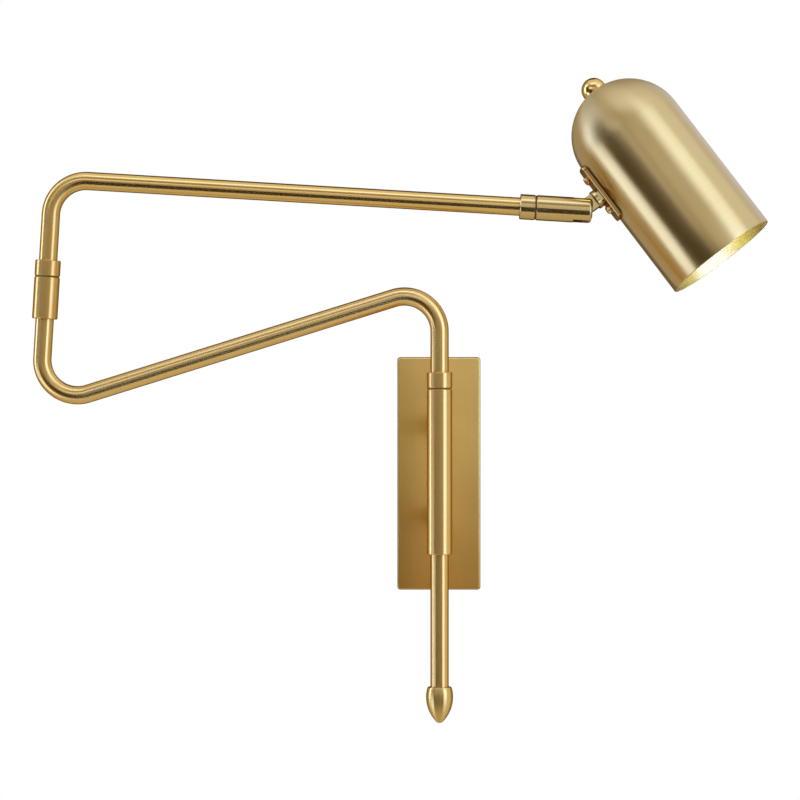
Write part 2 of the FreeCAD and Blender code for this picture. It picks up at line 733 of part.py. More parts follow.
def make_rod_collar():
    """Collar that carries the arm on the sleeve, with its set screw on the wall side."""
    top = COLLAR_BOTTOM + size("rod_collar_length")
    body = ring("rod_collar", ROD, SLEEVE_RADIUS, TUBE_SEAT_RADIUS, COLLAR_BOTTOM, top, EDGE)
    middle = (COLLAR_BOTTOM + top) / 2
    line = WALL.moved(z=middle).turned(AXIS_X, -90)
    screw_radius = size("set_screw_diameter") / 2
    cylinder(body, "Subtractive", "screw_hole", screw_radius + SEAT, SLEEVE_RADIUS + OVERRUN, line)
    wall_side = ROD.moved(y=SLEEVE_RADIUS - EDGE, z=middle).turned(AXIS_X, 90)
    set_screw("rod_collar_screw", wall_side, SLEEVE_RADIUS - EDGE - TUBE_RADIUS - SEAT)


def make_finial():
    """Acorn finial, screwed into a threaded insert in the rod's end."""
    end = ROD.moved(z=-size("rod_below_origin"))
    thread, top = size("finial_thread_diameter") / 2, size("finial_top_diameter") / 2
    widest, shoulder = size("finial_diameter") / 2, size("finial_shoulder")
    tip, edge = size("finial_tip_radius"), size("finial_round")
    tip_level = size("finial_height") - size("finial_tip_rise")
    corners = [
        (ZERO, size("finial_thread_length")),
        (ZERO, -size("finial_height"), tip),
        (leg(tip, tip - size("finial_tip_rise")), -tip_level, size("finial_flank_radius")),
        (widest, -shoulder),
        (top, -edge, edge),
        (top - edge, ZERO),
        (thread, ZERO),
        (thread, size("finial_thread_length")),
    ]
    turned("end_finial", end, corners)
    ring("end_insert", end, TUBE_PLUG_RADIUS, thread + SEAT, ZERO, size("insert_length"))


def make_elbow():
    """Elbow joint: sleeve and bushing on the lower arm, hollow spindle, nut and collar on the upper arm."""
    sleeve_bottom = -HALF_GAP - size("elbow_sleeve_length")
    ring("elbow_sleeve", ELBOW, SLEEVE_RADIUS, TUBE_SEAT_RADIUS, sleeve_bottom, -HALF_GAP, EDGE)
    journal, wire = size("elbow_journal_diameter") / 2, size("elbow_journal_bore") / 2
    bore = journal + RUNNING
    ring("elbow_bushing", ELBOW, TUBE_RADIUS, bore, -BLIND_BUSHING_END, -HALF_GAP)
    half_washer = size("washer_thickness") / 2
    ring("elbow_washer", ELBOW, WASHER_RADIUS, bore, -half_washer, half_washer)
    nut_top = -BLIND_BUSHING_END - SIDE_GAP
    nut_bottom = nut_top - size("elbow_nut_thickness")
    spindle_end = nut_bottom - size("elbow_nut_proud")
    shoulder_top = HALF_GAP + size("elbow_shoulder_length")
    turned("elbow_spindle", ELBOW, [
        (wire, spindle_end), (journal, spindle_end), (journal, HALF_GAP), (TUBE_PLUG_RADIUS, HALF_GAP),
        (TUBE_PLUG_RADIUS, shoulder_top), (wire, shoulder_top)])
    ring("elbow_nut", ELBOW, TUBE_BORE_RADIUS - SIDE_GAP, journal + SEAT, nut_bottom, nut_top)
    collar_top = HALF_GAP + size("elbow_collar_length")
    ring("elbow_collar", ELBOW, SLEEVE_RADIUS, TUBE_SEAT_RADIUS, HALF_GAP, collar_top, EDGE)


# Upper arm

def make_upper_tube():
    bend, riser = size("bend_radius"), size("upper_riser")
    corners = [(ZERO, HALF_GAP), (ZERO, riser - bend, -bend), (bend, riser)]
    corners += [(size("upper_arm_length") - HALF_GAP, riser)]
    make_tube("upper_arm_tube", ELBOW, HALF_GAP, corners)


def make_swivel():
    """Swivel joint at the upper arm's end: collar, insert and hollow bolt on the arm, washers between."""
    collar_bottom = -HALF_GAP - size("end_collar_length")
    ring("arm_end_collar", ARM_END, SLEEVE_RADIUS, TUBE_SEAT_RADIUS, collar_bottom, -HALF_GAP, EDGE)
    journal = size("swivel_journal_diameter") / 2
    insert_bottom = -HALF_GAP - size("swivel_insert_length")
    ring("swivel_insert", ARM_END, TUBE_PLUG_RADIUS, journal + SEAT, insert_bottom, -HALF_GAP)
    half_washer = size("washer_thickness") / 2
    ring("swivel_washer", ARM_END, WASHER_RADIUS, journal + RUNNING, -half_washer, half_washer)
    floor_top = HALF_GAP + size("barrel_floor")
    spring_bottom = floor_top + size("axial_play")
    head_bottom = spring_bottom + size("spring_washer_thickness") + size("axial_play")
    head_top = head_bottom + size("swivel_head_height")
    bolt_end = -HALF_GAP - size("swivel_bolt_reach")
    head_radius = size("slot_width") / 2 - SIDE_GAP
    wire = size("swivel_bolt_bore") / 2
    turned("swivel_bolt", ARM_END, [
        (wire, bolt_end), (journal, bolt_end), (journal, head_bottom), (head_radius, head_bottom),
        (head_radius, head_top), (wire, head_top)])
    ring("spring_washer", ARM_END, head_radius, journal + RUNNING, spring_bottom,
         spring_bottom + size("spring_washer_thickness"))


def make_barrel():
    """Knuckle barrel: bored for the swivel bolt, slotted for the tongue, cross-drilled for the pivot."""
    outer, end = SLEEVE_RADIUS, BARREL_END
    round_off, cavity = size("barrel_round"), size("slot_width") / 2
    bore = size("swivel_journal_diameter") / 2 + RUNNING
    floor_top = HALF_GAP + size("barrel_floor")
    corners = [(bore, HALF_GAP), (outer - EDGE, HALF_GAP), (outer, HALF_GAP + EDGE)]
    corners += [(outer, end - round_off, round_off), (outer - round_off, end), (cavity, end)]
    body = turned("knuckle_barrel", SWIVEL, corners + [(cavity, floor_top), (bore, floor_top)])
    slot_sizes = (outer * 3, size("slot_width"), size("slot_depth") + OVERRUN)
    slot_centre = (ZERO, ZERO, end - size("slot_depth") / 2 + OVERRUN / 2)
    box(body, "Subtractive", "slot", slot_sizes, slot_centre)
    hole_start = WALL.moved(y=-outer - OVERRUN, z=PIVOT_DISTANCE).turned(AXIS_X, -90)
    hole_length = outer * 2 + OVERRUN - size("pivot_thread_cover")
    cylinder(body, "Subtractive", "pivot_hole", size("pivot_diameter") / 2 + SEAT, hole_length, hole_start)
    recess_radius = size("pivot_head_diameter") / 2 + SIDE_GAP
    recess_depth = size("pivot_head_sink") + OVERRUN
    cylinder(body, "Subtractive", "head_recess", recess_radius, recess_depth, hole_start)


def make_pivot():
    """Socket-head screw from the wall side, and the two friction washers beside the tongue."""
    seat_y = size("pivot_head_sink") - SLEEVE_RADIUS
    place = PIVOT.moved(y=seat_y).turned(AXIS_X, -90)
    radius, head = size("pivot_diameter") / 2, size("pivot_head_diameter") / 2
    head_height = size("pivot_head_height")
    shank = SLEEVE_RADIUS * 2 - size("pivot_head_sink") - size("pivot_thread_cover") - SIDE_GAP
    corners = [(ZERO, -head_height), (head, -head_height), (head, ZERO)]
    body = turned("pivot_screw", place, corners + [(radius, ZERO), (radius, shank), (ZERO, shank)])
    socket = sketch_on(body, "XY_Plane", "socket", offset=-head_height)
    draw_path(socket, hexagon(size("pivot_socket_flats")), closed=True)
    pocket = pad(body, socket, head_height / 2, kind="PartDesign::Pocket")
    pocket.Reversed = True
    washer_radius, bore = size("pivot_washer_diameter") / 2, radius + RUNNING
    outer_face = size("slot_width") / 2 - size("axial_play")
    inner_face = outer_face - size("pivot_washer_thickness")
    washers = []
    for name, angle in (("front", -90), ("rear", 90)):
        side = PIVOT.turned(AXIS_X, angle)
        washers.append(ring(f"{name}_washer", side, washer_radius, bore, inner_face, outer_face))
    group("pivot_washers", washers)


# Head

def make_tongue():
    """Flat tongue with a round end, a round shoulder and a threaded stem through the shade's wall."""
    body = new_body("knuckle_tongue", HEAD)
    half = size("tongue_width") / 2
    reach = size("shoulder_distance")
    sketch = sketch_on(body, "XZ_Plane", "flat")
    round_end = [(ZERO, half, half), (-half, ZERO, half), (ZERO, -half)]
    draw_path(sketch, round_end + [(reach, -half), (reach, half)], closed=True)
    draw_circle(sketch, size("pivot_diameter") / 2 + RUNNING)
    pad(body, sketch, tongue_thickness(), symmetric=True)
    along = WALL.moved(x=reach).turned(AXIS_Y, 90)
    cylinder(body, "Additive", "shoulder", size("shoulder_diameter") / 2, size("shoulder_thickness"), along)
    stem_length = stem_nut_start() + size("stem_nut_thickness") + size("stem_proud") - reach
    cylinder(body, "Additive", "stem", size("stem_diameter") / 2, stem_length, along)


def tongue_thickness():
    beside = size("pivot_washer_thickness") + size("axial_play") * 2
    return size("slot_width") - beside * 2


def inner_wall_at(half_width):
    """Distance from the pivot to the shade's inner wall, beside a nut of the given half width."""
    return SHADE_AXIS_DISTANCE - leg(SHADE_INNER_RADIUS, half_width) + SEAT


def stem_nut_start():
    return inner_wall_at(size("stem_nut_flats") / math.sqrt(3))


def make_stem_nuts():
    across = HEAD.turned(AXIS_Y, 90)
    bore = size("stem_diameter") / 2 + SEAT
    flats = size("stem_nut_flats")
    lock_start = size("shoulder_distance") + size("shoulder_thickness")
    hex_nut("lock_nut", across, flats, bore, lock_start, size("lock_nut_thickness"))
    hex_nut("stem_nut", across, flats, bore, stem_nut_start(), size("stem_nut_thickness"))


def make_strip():
    """Mounting strip with a hollow inner face that follows the shade."""
    body = new_body("shade_strip", STRIP)
    sketch = sketch_on(body, "YZ_Plane", "outline", offset=STRIP_FACE)
    half_width, half_length = size("strip_width") / 2, size("strip_length") / 2
    draw_path(sketch, rounded_rectangle(half_width, half_length, size("strip_corner")), closed=True)
    draw_circle(sketch, size("stem_diameter") / 2 + SEAT, y=size("strip_shift"))
    for side in (-1, 1):
        draw_circle(sketch, size("strip_screw_diameter") / 2 + SEAT, y=size("strip_screw_offset") * side)
    pad(body, sketch, SHADE_AXIS_DISTANCE - STRIP_FACE - leg(size("shade_radius"), half_width))
    hollow = WALL.moved(x=SHADE_AXIS_DISTANCE, z=-size("strip_length"))
    cylinder(body, "Subtractive", "hollow", size("shade_radius") + SEAT, size("strip_length") * 2, hollow)


def make_strip_screws():
    """Two pan-head screws through strip and shade, each with a nut inside the shade."""
    radius, head = size("strip_screw_diameter") / 2, size("strip_head_diameter") / 2
    height, crown = size("strip_head_height"), size("strip_head_round")
    flats, thickness = size("strip_nut_flats"), size("strip_nut_thickness")
    nut_start = inner_wall_at(flats / math.sqrt(3)) - STRIP_FACE
    end = nut_start + thickness + size("strip_screw_proud")
    corners = [(ZERO, -height), (head - crown, -height, crown), (head, crown - height), (head, ZERO)]
    corners += [(radius, ZERO), (radius, end), (ZERO, end)]
    screws, nuts = [], []
    for side, name in ((-1, "dome"), (1, "rim")):
        place = STRIP.moved(x=STRIP_FACE, z=size("strip_screw_offset") * side).turned(AXIS_Y, 90)
        screws.append(turned(f"{name}_screw", place, corners))
        nuts.append(hex_nut(f"{name}_screw_nut", place, flats, radius + SEAT, nut_start, thickness))
    group("strip_screws", screws)
    group("strip_nuts", nuts)


def make_shade():
    """Spun shade: a cylinder closed by a half-round dome, drilled for nipple, stem and two screws."""
    outer, inner = size("shade_radius"), SHADE_INNER_RADIUS
    base, rim = -size("shade_dome_base"), size("shade_rim")
    hole = NIPPLE_RADIUS + SEAT
    corners = [(hole, base - leg(outer, hole), outer), (outer, base), (outer, rim)]
    corners += [(inner, rim), (inner, base, -inner), (hole, base - leg(inner, hole))]
    body = turned("shade", SHADE, corners)
    start = -outer - OVERRUN
    drill_depth = size("shade_wall") + OVERRUN * 2
    for name, radius, offset in (
        ("stem_hole", size("stem_diameter") / 2, size("strip_shift")),
        ("dome_screw_hole", size("strip_screw_diameter") / 2, -size("strip_screw_offset")),
        ("rim_screw_hole", size("strip_screw_diameter") / 2, size("strip_screw_offset")),
    ):
        drill = WALL.moved(x=start, z=offset).turned(AXIS_Y, 90)
        cylinder(body, "Subtractive", name, radius + SEAT, drill_depth, drill)


def make_dome_fittings():
    """Round cap nut outside the dome, nipple through it and hexagon nut inside."""
    base = -size("shade_dome_base")
    outer = size("shade_radius") + SEAT
    cap, bore = size("cap_nut_diameter") / 2, NIPPLE_RADIUS + SEAT
    inner_base = base - leg(outer, bore)
    bore_end = inner_base - size("holder_nipple_depth")
    top = base - outer - size("cap_nut_height")
    corners = [(ZERO, top, cap), (cap, top + cap), (cap, base - leg(outer, cap), -outer)]
    turned("cap_nut", SHADE, corners + [(bore, inner_base), (bore, bore_end), (ZERO, bore_end)])
    nipple_start = bore_end + SIDE_GAP
    nipple_end = nipple_start + size("holder_nipple_length")
    ring("holder_nipple", SHADE, NIPPLE_RADIUS, size("holder_nipple_bore") / 2, nipple_start, nipple_end)
    hex_nut("dome_nut", SHADE, size("nipple_nut_flats"), bore, dome_nut_start(), size("holder_nut_thickness"))


def dome_nut_start():
    """Level at which the corners of the inner nut meet the dome."""
    return -size("shade_dome_base") - leg(SHADE_INNER_RADIUS, size("nipple_nut_flats") / math.sqrt(3)) + SEAT


def make_holder():
    """Lamp holder screwed on the nipple, with the threaded metal shell inside."""
    start = dome_nut_start() + size("holder_nut_thickness") + SEAT
    floor, end = start + size("holder_floor"), start + size("holder_length")
    shell_inner = size("bulb_cap_diameter") / 2 + SIDE_GAP
    shell_outer = shell_inner + size("shell_wall")
    bore, cavity = NIPPLE_RADIUS + SEAT, shell_outer + SEAT
    neck, outer = cavity + size("holder_neck_wall"), size("holder_diameter") / 2
    neck_top = start + size("holder_neck_height")
    turned("lamp_holder", SHADE, [
        (bore, start), (neck, start), (neck, neck_top), (outer, neck_top + (outer - neck)), (outer, end),
        (cavity, end), (cavity, floor), (bore, floor)])
    ring("holder_shell", SHADE, shell_outer, shell_inner, floor, floor + size("shell_length"))


def make_bulb():
    """Screw cap with its contact, and a pear-shaped glass globe."""
    start = dome_nut_start() + size("holder_nut_thickness") + size("holder_floor") + SIDE_GAP
    cap, contact = size("bulb_cap_diameter") / 2, size("bulb_contact_diameter") / 2
    taper, cap_end = size("bulb_cap_taper"), start + size("bulb_cap_length")
    turned("bulb_cap", SHADE, [
        (ZERO, start), (contact, start), (contact, start + taper / 2), (cap - taper, start + taper),
        (cap, start + taper * 2), (cap, cap_end), (ZERO, cap_end)])
    wall, radius = size("bulb_glass"), size("bulb_diameter") / 2
    neck, skirt, join = size("bulb_neck_diameter") / 2, size("bulb_skirt_radius"), size("bulb_join_angle")
    centre = cap_end + size("bulb_length") - radius
    inner = radius - wall
    turned("bulb_globe", SHADE, [
        (neck, cap_end, -skirt), (radius * cosine(join), centre - radius * sine(join), radius),
        (ZERO, centre + radius), (ZERO, centre + inner, -inner),
        (inner * cosine(join), centre - inner * sine(join), skirt + wall), (neck - wall, cap_end)])


def check_and_export():
    """Stops on any failed object or shape, then writes each sub-part to its own file."""
    doc.recompute()
    for item in doc.Objects:
        if "Invalid" in item.State or "Error" in item.State:
            raise RuntimeError(f"{item.Name}: {item.State} {item.getStatusString()}")
    groups = [item for item in doc.Objects if item.isDerivedFrom("Part::Compound")]
    grouped = {member.Name for item in groups for member in item.Links}
    kinds = ("PartDesign::Body", "Part::Compound")
    nodes = [item for item in doc.Objects if item.TypeId in kinds and item.Name not in grouped]
    for node in nodes:
        if node.Shape.isNull() or not node.Shape.isValid():
            raise RuntimeError(f"{node.Label}: bad shape")
    os.makedirs("parts", exist_ok=True)
    for node in nodes:
        node.Shape.exportStep(f"parts/{node.Label}.step")
    print(len(nodes), "nodes written")


make_sheet()
make_canopy()
make_crossbar()
make_canopy_screws()
make_earth_screw()
make_terminal_block()
make_posts()
make_sleeve()
make_lower_tube()
make_rod_collar()
make_finial()
make_elbow()
make_upper_tube()
make_swivel()
make_barrel()
make_pivot()
make_tongue()
make_stem_nuts()
make_strip()
make_strip_screws()
make_shade()
make_dome_fittings()
make_holder()
make_bulb()
check_and_export()
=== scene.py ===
import json
import math

import bmesh
import bpy
from mathutils import Matrix, Vector


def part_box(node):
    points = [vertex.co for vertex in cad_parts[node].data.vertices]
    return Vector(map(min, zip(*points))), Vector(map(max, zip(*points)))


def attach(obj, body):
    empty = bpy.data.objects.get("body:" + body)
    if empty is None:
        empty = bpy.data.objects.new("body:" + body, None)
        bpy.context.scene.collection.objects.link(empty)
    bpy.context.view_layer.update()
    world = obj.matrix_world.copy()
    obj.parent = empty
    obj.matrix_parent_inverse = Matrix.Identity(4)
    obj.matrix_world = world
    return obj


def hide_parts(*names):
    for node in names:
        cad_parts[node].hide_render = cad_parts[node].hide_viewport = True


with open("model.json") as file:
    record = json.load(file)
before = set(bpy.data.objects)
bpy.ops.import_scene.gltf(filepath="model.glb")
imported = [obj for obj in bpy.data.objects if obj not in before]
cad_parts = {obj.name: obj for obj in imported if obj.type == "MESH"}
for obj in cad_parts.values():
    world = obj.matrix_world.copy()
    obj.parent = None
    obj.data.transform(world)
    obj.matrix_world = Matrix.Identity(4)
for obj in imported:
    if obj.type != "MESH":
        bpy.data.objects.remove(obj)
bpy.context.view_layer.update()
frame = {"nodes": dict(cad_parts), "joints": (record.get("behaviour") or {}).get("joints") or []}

# Adjustable wall lamp in satin brass. +X runs along the wall, +Y into it and +Z up.
# Blender works in metres. Sizes of pieces are given in millimetres and pass through mm().


def mm(*lengths):
    """Millimetres as metres: one value, or a vector of three."""
    metres = [length * 0.001 for length in lengths]
    return metres[0] if len(metres) == 1 else Vector(metres)


nodes = frame["nodes"]
joints = {joint["name"]: joint for joint in frame["joints"]}


def joint_line(name):
    """Place and unit direction of a joint."""
    joint = joints[name]
    return Vector(joint["pos_m"]), Vector(joint["axis"]).normalized()


def frame_along(place, axis, side):
    """A frame at a place, whose Z runs along axis and whose Y lies as near as it can to side."""
    z = axis.normalized()
    x = side.cross(z).normalized()
    turn = Matrix((x, z.cross(x), z)).transposed().to_4x4()
    return Matrix.Translation(place) @ turn


# Driving places, from the joints
UP, TO_WALL = Vector((0, 0, 1)), Vector((0, 1, 0))
ROD_PLACE, ROD_AXIS = joint_line("arm_swing")
ELBOW_PLACE, ELBOW_AXIS = joint_line("elbow_swing")
SWIVEL_PLACE, ARM_AXIS = joint_line("head_swivel")
PIVOT_PLACE, PIVOT_AXIS = joint_line("shade_tilt")

# The head: the tongue runs from the pivot to the strip, and the shade's axis crosses it at a right angle
SHADE_TILT = math.radians(50.4)  # the shade's axis below the arm's
SHADE_AXIS = Matrix.Rotation(SHADE_TILT, 3, -PIVOT_AXIS) @ ARM_AXIS
TONGUE_AXIS = PIVOT_AXIS.cross(SHADE_AXIS)
STRIP_SHIFT = mm(1.8)  # the strip's middle is this much nearer to the dome than the tongue is
STRIP_FACE = mm(17)  # from the pivot
STRIP_THICKNESS = mm(1.94)  # with its clearance to the shade
SHADE_SPAN = 82  # millimetres across
SHADE_RADIUS, SHADE_WALL = mm(SHADE_SPAN) / 2, mm(1)
SHADE_RIM, DOME_BASE = mm(87.3), -mm(21.7)  # along the shade's axis, from the strip's middle
DOME_HOLE = mm(5.04)  # its radius
STRIP_PLACE = PIVOT_PLACE + TONGUE_AXIS * STRIP_FACE - SHADE_AXIS * STRIP_SHIFT
SHADE_PLACE = STRIP_PLACE + TONGUE_AXIS * (STRIP_THICKNESS + SHADE_RADIUS)

WALL_FRAME = Matrix.Identity(4)
POST_FRAME = frame_along(Vector(), -TO_WALL, UP)
ROD_FRAME = frame_along(ROD_PLACE, ROD_AXIS, TO_WALL)
ELBOW_FRAME = frame_along(ELBOW_PLACE, ELBOW_AXIS, TO_WALL)
ARM_FRAME = frame_along(SWIVEL_PLACE, ARM_AXIS, TO_WALL)
SHADE_FRAME = frame_along(SHADE_PLACE, SHADE_AXIS, PIVOT_AXIS)
STRIP_FRAME = frame_along(STRIP_PLACE, TONGUE_AXIS, PIVOT_AXIS)


# Materials

BRUSHING = "brushing"  # UV map: metres around and metres along, on turned and bent pieces
WAVE_TURN = 20  # a wave texture of scale 1 turns through this many radians in one unit
QUARTER_TURN = 0.25  # as the shader counts rotation
WHITE = (1, 1, 1, 1)

# Pattern cells in millimetres. Brushing cells are long along the brushing.
AROUND, UPRIGHT, ALONG_TUBE, ALONG_STRIP = (22, 22, 0.45), (0.5, 0.5, 60), (18, 0.5, 1), (9, 6, 0.7)
RAW_CELL, ZINC_CELL, THREAD_CELL = (6, 6, 0.5), (7, 7, 1.2), (4, 4, 0.3)
SCREW_CELL, SOLDER_CELL, GRAIN_CELL, OPAL_CELL = (2,) * 3, (1.2,) * 3, (0.35,) * 3, (0.5,) * 3
CLOUD_CELL, SPOT_CELL, MOULDED_CLOUD_CELL = (45,) * 3, (14,) * 3, (9,) * 3

# Depths of relief, and pitch and depth of threads, in millimetres
SCRATCH, TUBE_SCRATCH, BROAD_SCRATCH = 0.001, 0.0004, 0.003
SOLDER_RELIEF, PAINT_RELIEF, MOULDED_RELIEF, FIBRE_RELIEF, OPAL_RELIEF = 0.02, 0.004, 0.012, 0.03, 0.01
NIPPLE_THREAD, BULB_THREAD = (1.0, 0.25), (3.6, 0.5)

# Detail of patterns, and where in a pattern's values a blend starts and ends
CLOUD_DETAIL, EVEN_DETAIL, FINE_DETAIL, FINE_ROUGHNESS = 1.0, 2.0, 3.0, 0.6
CLOUD_BLEND, GROOVE_BLEND, SPOT_BLEND, THREAD_BLEND = (0.25, 0.75), (0.3, 0.6), (0.3, 0.75), (0.1, 0.6)

# Shares of the tone in the deepest grooves and grains, and how far roughness strays
GROOVE_TONE, TUBE_GROOVE_TONE, GRAIN_TONE = 0.955, 0.965, 0.96
SMUDGE, THREAD_SMUDGE, MOULDED_SMUDGE = 0.008, 0.05, 0.06


class Finish:
    """A Principled material whose colour, roughness and relief come from patterns laid out in a frame."""

    def __init__(self, name, metallic=0.0):
        self.material = bpy.data.materials.new(name)
        self.material.use_nodes = True
        tree = self.material.node_tree
        self.nodes, self.links = tree.nodes, tree.links
        self.shader = next(node for node in self.nodes if node.type == "BSDF_PRINCIPLED")
        self.relief = None
        self.set("Metallic", metallic)

    def set(self, socket, value):
        self.shader.inputs[socket].default_value = value

    def place_in(self, place, cell, uv_map=None):
        """Coordinates in a frame, or in a UV map, counted in cells of the given size in millimetres."""
        if uv_map:
            source = self.nodes.new("ShaderNodeUVMap")
            source.uv_map = uv_map
            output = source.outputs["UV"]
        else:
            source = self.nodes.new("ShaderNodeTexCoord")
            output = source.outputs["Object"]
        mapping = self.nodes.new("ShaderNodeMapping")
        mapping.vector_type = "TEXTURE"
        mapping.inputs["Location"].default_value = place.to_translation()
        mapping.inputs["Rotation"].default_value = place.to_euler()
        mapping.inputs["Scale"].default_value = mm(*cell)
        self.links.new(output, mapping.inputs["Vector"])
        return mapping.outputs["Vector"]

    def noise(self, place, cell, detail=EVEN_DETAIL, roughness=0.5, uv_map=None):
        """A cloudy pattern with cells of the given size."""
        node = self.nodes.new("ShaderNodeTexNoise")
        node.inputs["Scale"].default_value = 1.0
        node.inputs["Detail"].default_value = detail
        node.inputs["Roughness"].default_value = roughness
        self.links.new(self.place_in(place, cell, uv_map), node.inputs["Vector"])
        return node.outputs["Fac"]

    def fine(self, place, cell, uv_map=None):
        """A crisp pattern: brushing where its cells are long, and grain or spots where they aren't."""
        return self.noise(place, cell, FINE_DETAIL, FINE_ROUGHNESS, uv_map)

    def rings(self, place, pitch):
        """Soft ridges across the frame's Z, with the given pitch in millimetres."""
        node = self.nodes.new("ShaderNodeTexWave")
        node.bands_direction = "Z"
        node.inputs["Scale"].default_value = 2 * math.pi / WAVE_TURN
        self.links.new(self.place_in(place, (pitch,) * 3), node.inputs["Vector"])
        return node.outputs["Fac"]

    def part_of(self, vector, axis):
        """The part of a vector along an axis."""
        split = self.nodes.new("ShaderNodeSeparateXYZ")
        self.links.new(vector, split.inputs["Vector"])
        return split.outputs[axis]

    def share_along(self, axis, start, span):
        """How far a place lies along an axis of the start frame, as a share of a span in millimetres."""
        return self.part_of(self.place_in(start, (span,) * 3), axis)

    def facing(self, axis):
        """How squarely the surface faces along an axis of the world: 1 face on, 0 edge on."""
        surface = self.nodes.new("ShaderNodeNewGeometry")
        size = self.nodes.new("ShaderNodeMath")
        size.operation = "ABSOLUTE"
        self.links.new(self.part_of(surface.outputs["Normal"], axis), size.inputs[0])
        return size.outputs["Value"]

    def steps(self, factor, stops):
        """A blend through colours, or through numbers, each at its own place between 0 and 1."""
        node = self.nodes.new("ShaderNodeValToRGB")
        elements = node.color_ramp.elements
        while len(elements) < len(stops):
            elements.new(1)
        for element, (position, value) in zip(elements, stops):
            element.position = position
            element.color = (*value, 1) if isinstance(value, tuple) else (value, value, value, 1)
        self.links.new(factor, node.inputs["Fac"])
        return node.outputs["Color"]

    def ramp(self, factor, low, high, start=0.3, end=0.7):
        """A blend from low to high, both colours or both numbers, while the factor runs from start to end."""
        return self.steps(factor, ((start, low), (end, high)))

    def multiply(self, first, second):
        node = self.nodes.new("ShaderNodeMix")
        node.data_type = "RGBA"
        node.blend_type = "MULTIPLY"
        sockets = {socket.identifier: socket for socket in node.inputs}
        sockets["Factor_Float"].default_value = 1.0
        self.links.new(first, sockets["A_Color"])
        self.links.new(second, sockets["B_Color"])
        return next(socket for socket in node.outputs if socket.identifier == "Result_Color")

    def clouded(self, tones, place, uv_map=None):
        """A tone that wanders over the piece, from the deep one of the two tones to the light one."""
        cloud = self.noise(place, CLOUD_CELL, detail=CLOUD_DETAIL, uv_map=uv_map)
        return self.ramp(cloud, *tones, *CLOUD_BLEND)

    def colour(self, output):
        self.links.new(output, self.shader.inputs["Base Color"])

    def grooved(self, tone, fine, deepest):
        """Colours the piece in a tone that turns darker in the grooves of a fine pattern."""
        self.colour(self.multiply(tone, self.ramp(fine, deepest, 1.0, *GROOVE_BLEND)))

    def rough(self, output):
        self.links.new(output, self.shader.inputs["Roughness"])

    def smudged(self, place, roughness, smudge):
        """Roughness with faint spots, this much smoother and rougher than the rest."""
        spots = self.fine(place, SPOT_CELL)
        self.rough(self.ramp(spots, roughness - smudge, roughness + smudge, *SPOT_BLEND))

    def bump(self, factor, depth):
        """Relief of the given depth in millimetres, on top of any relief made before."""
        node = self.nodes.new("ShaderNodeBump")
        node.inputs["Strength"].default_value = 1.0
        node.inputs["Distance"].default_value = mm(depth)
        self.links.new(factor, node.inputs["Height"])
        if self.relief:
            self.links.new(self.relief, node.inputs["Normal"])
        self.relief = node.outputs["Normal"]
        self.links.new(self.relief, self.shader.inputs["Normal"])

    def stretch(self, strength, around, rotation=QUARTER_TURN):
        """Draws out highlights along a tangent, which follows a UV map or circles an axis."""
        tangent = self.nodes.new("ShaderNodeTangent")
        if around in ("X", "Y", "Z"):
            tangent.direction_type = "RADIAL"
            tangent.axis = around
        else:
            tangent.direction_type = "UV_MAP"
            tangent.uv_map = around
        self.links.new(tangent.outputs["Tangent"], self.shader.inputs["Tangent"])
        self.set("Anisotropic", strength)
        self.set("Anisotropic Rotation", rotation)


# Brushed and machined metals, by their deep and light tones
TUBE_TONES = ((0.765, 0.48, 0.135), (0.785, 0.505, 0.15))
ROD_TONES = ((0.79, 0.505, 0.155), (0.81, 0.53, 0.17))
SLEEVE_TONES = ((0.82, 0.48, 0.13), (0.84, 0.505, 0.14))
# painted shade: the elbow's sleeve and collar take a darker copy of the tubes' brass, which dims their
# highlights
ELBOW_SHADED_TONES = ((0.735, 0.425, 0.105), (0.755, 0.45, 0.12))
BARREL_TONES = ((0.66, 0.44, 0.145), (0.68, 0.46, 0.16))
POST_TONES = ((0.90, 0.63, 0.25), (0.93, 0.66, 0.27))
HEAD_TONES = ((0.62, 0.44, 0.16), (0.68, 0.50, 0.19))
COPPERY_TONES = ((0.84, 0.40, 0.13), (0.90, 0.46, 0.17))
GOLDEN_TONES = ((0.84, 0.60, 0.22), (0.90, 0.66, 0.26))
SOLDER_TONES = ((0.74, 0.52, 0.24), (0.80, 0.60, 0.32))
RAW_TONES = ((0.70, 0.52, 0.22), (0.78, 0.60, 0.28))
ZINC_TONES = ((0.58, 0.59, 0.59), (0.70, 0.70, 0.68))
NIPPLE_TONES = ((0.52, 0.36, 0.13), (0.80, 0.62, 0.30))
BULB_METAL_TONES = ((0.62, 0.61, 0.58), (0.80, 0.79, 0.76))
RIM_TINT, ZINC_RIM_TINT = (0.35, 0.22, 0.10, 1), (0.9, 0.9, 0.9, 1)  # the metal at a glancing view
LONG_STRETCH = 0.98


def brushed_metal(name, place, cell, tones, roughness, around=None, scratch=SCRATCH, rim=RIM_TINT):
    """Metal with fine brushing along the long side of its cells, slight tone changes and faint smudges."""
    finish = Finish(name, metallic=1.0)
    finish.set("Specular Tint", rim)
    fine = finish.fine(place, cell)
    finish.grooved(finish.clouded(tones, place), fine, GROOVE_TONE)
    finish.smudged(place, roughness, SMUDGE)
    finish.bump(fine, scratch)
    if around:
        finish.stretch(LONG_STRETCH, around)
    return finish.material


def threaded_metal(name, place, thread, tones, roughness):
    """Metal with a thread along the frame's Z, given as its pitch and depth."""
    pitch, depth = thread
    finish = Finish(name, metallic=1.0)
    ridges = finish.rings(place, pitch)
    fine = finish.noise(place, THREAD_CELL, FINE_DETAIL)
    finish.colour(finish.ramp(ridges, *tones, *THREAD_BLEND))
    finish.rough(finish.ramp(fine, roughness - THREAD_SMUDGE, roughness + THREAD_SMUDGE))
    finish.bump(ridges, depth)
    finish.bump(fine, BROAD_SCRATCH)
    return finish.material


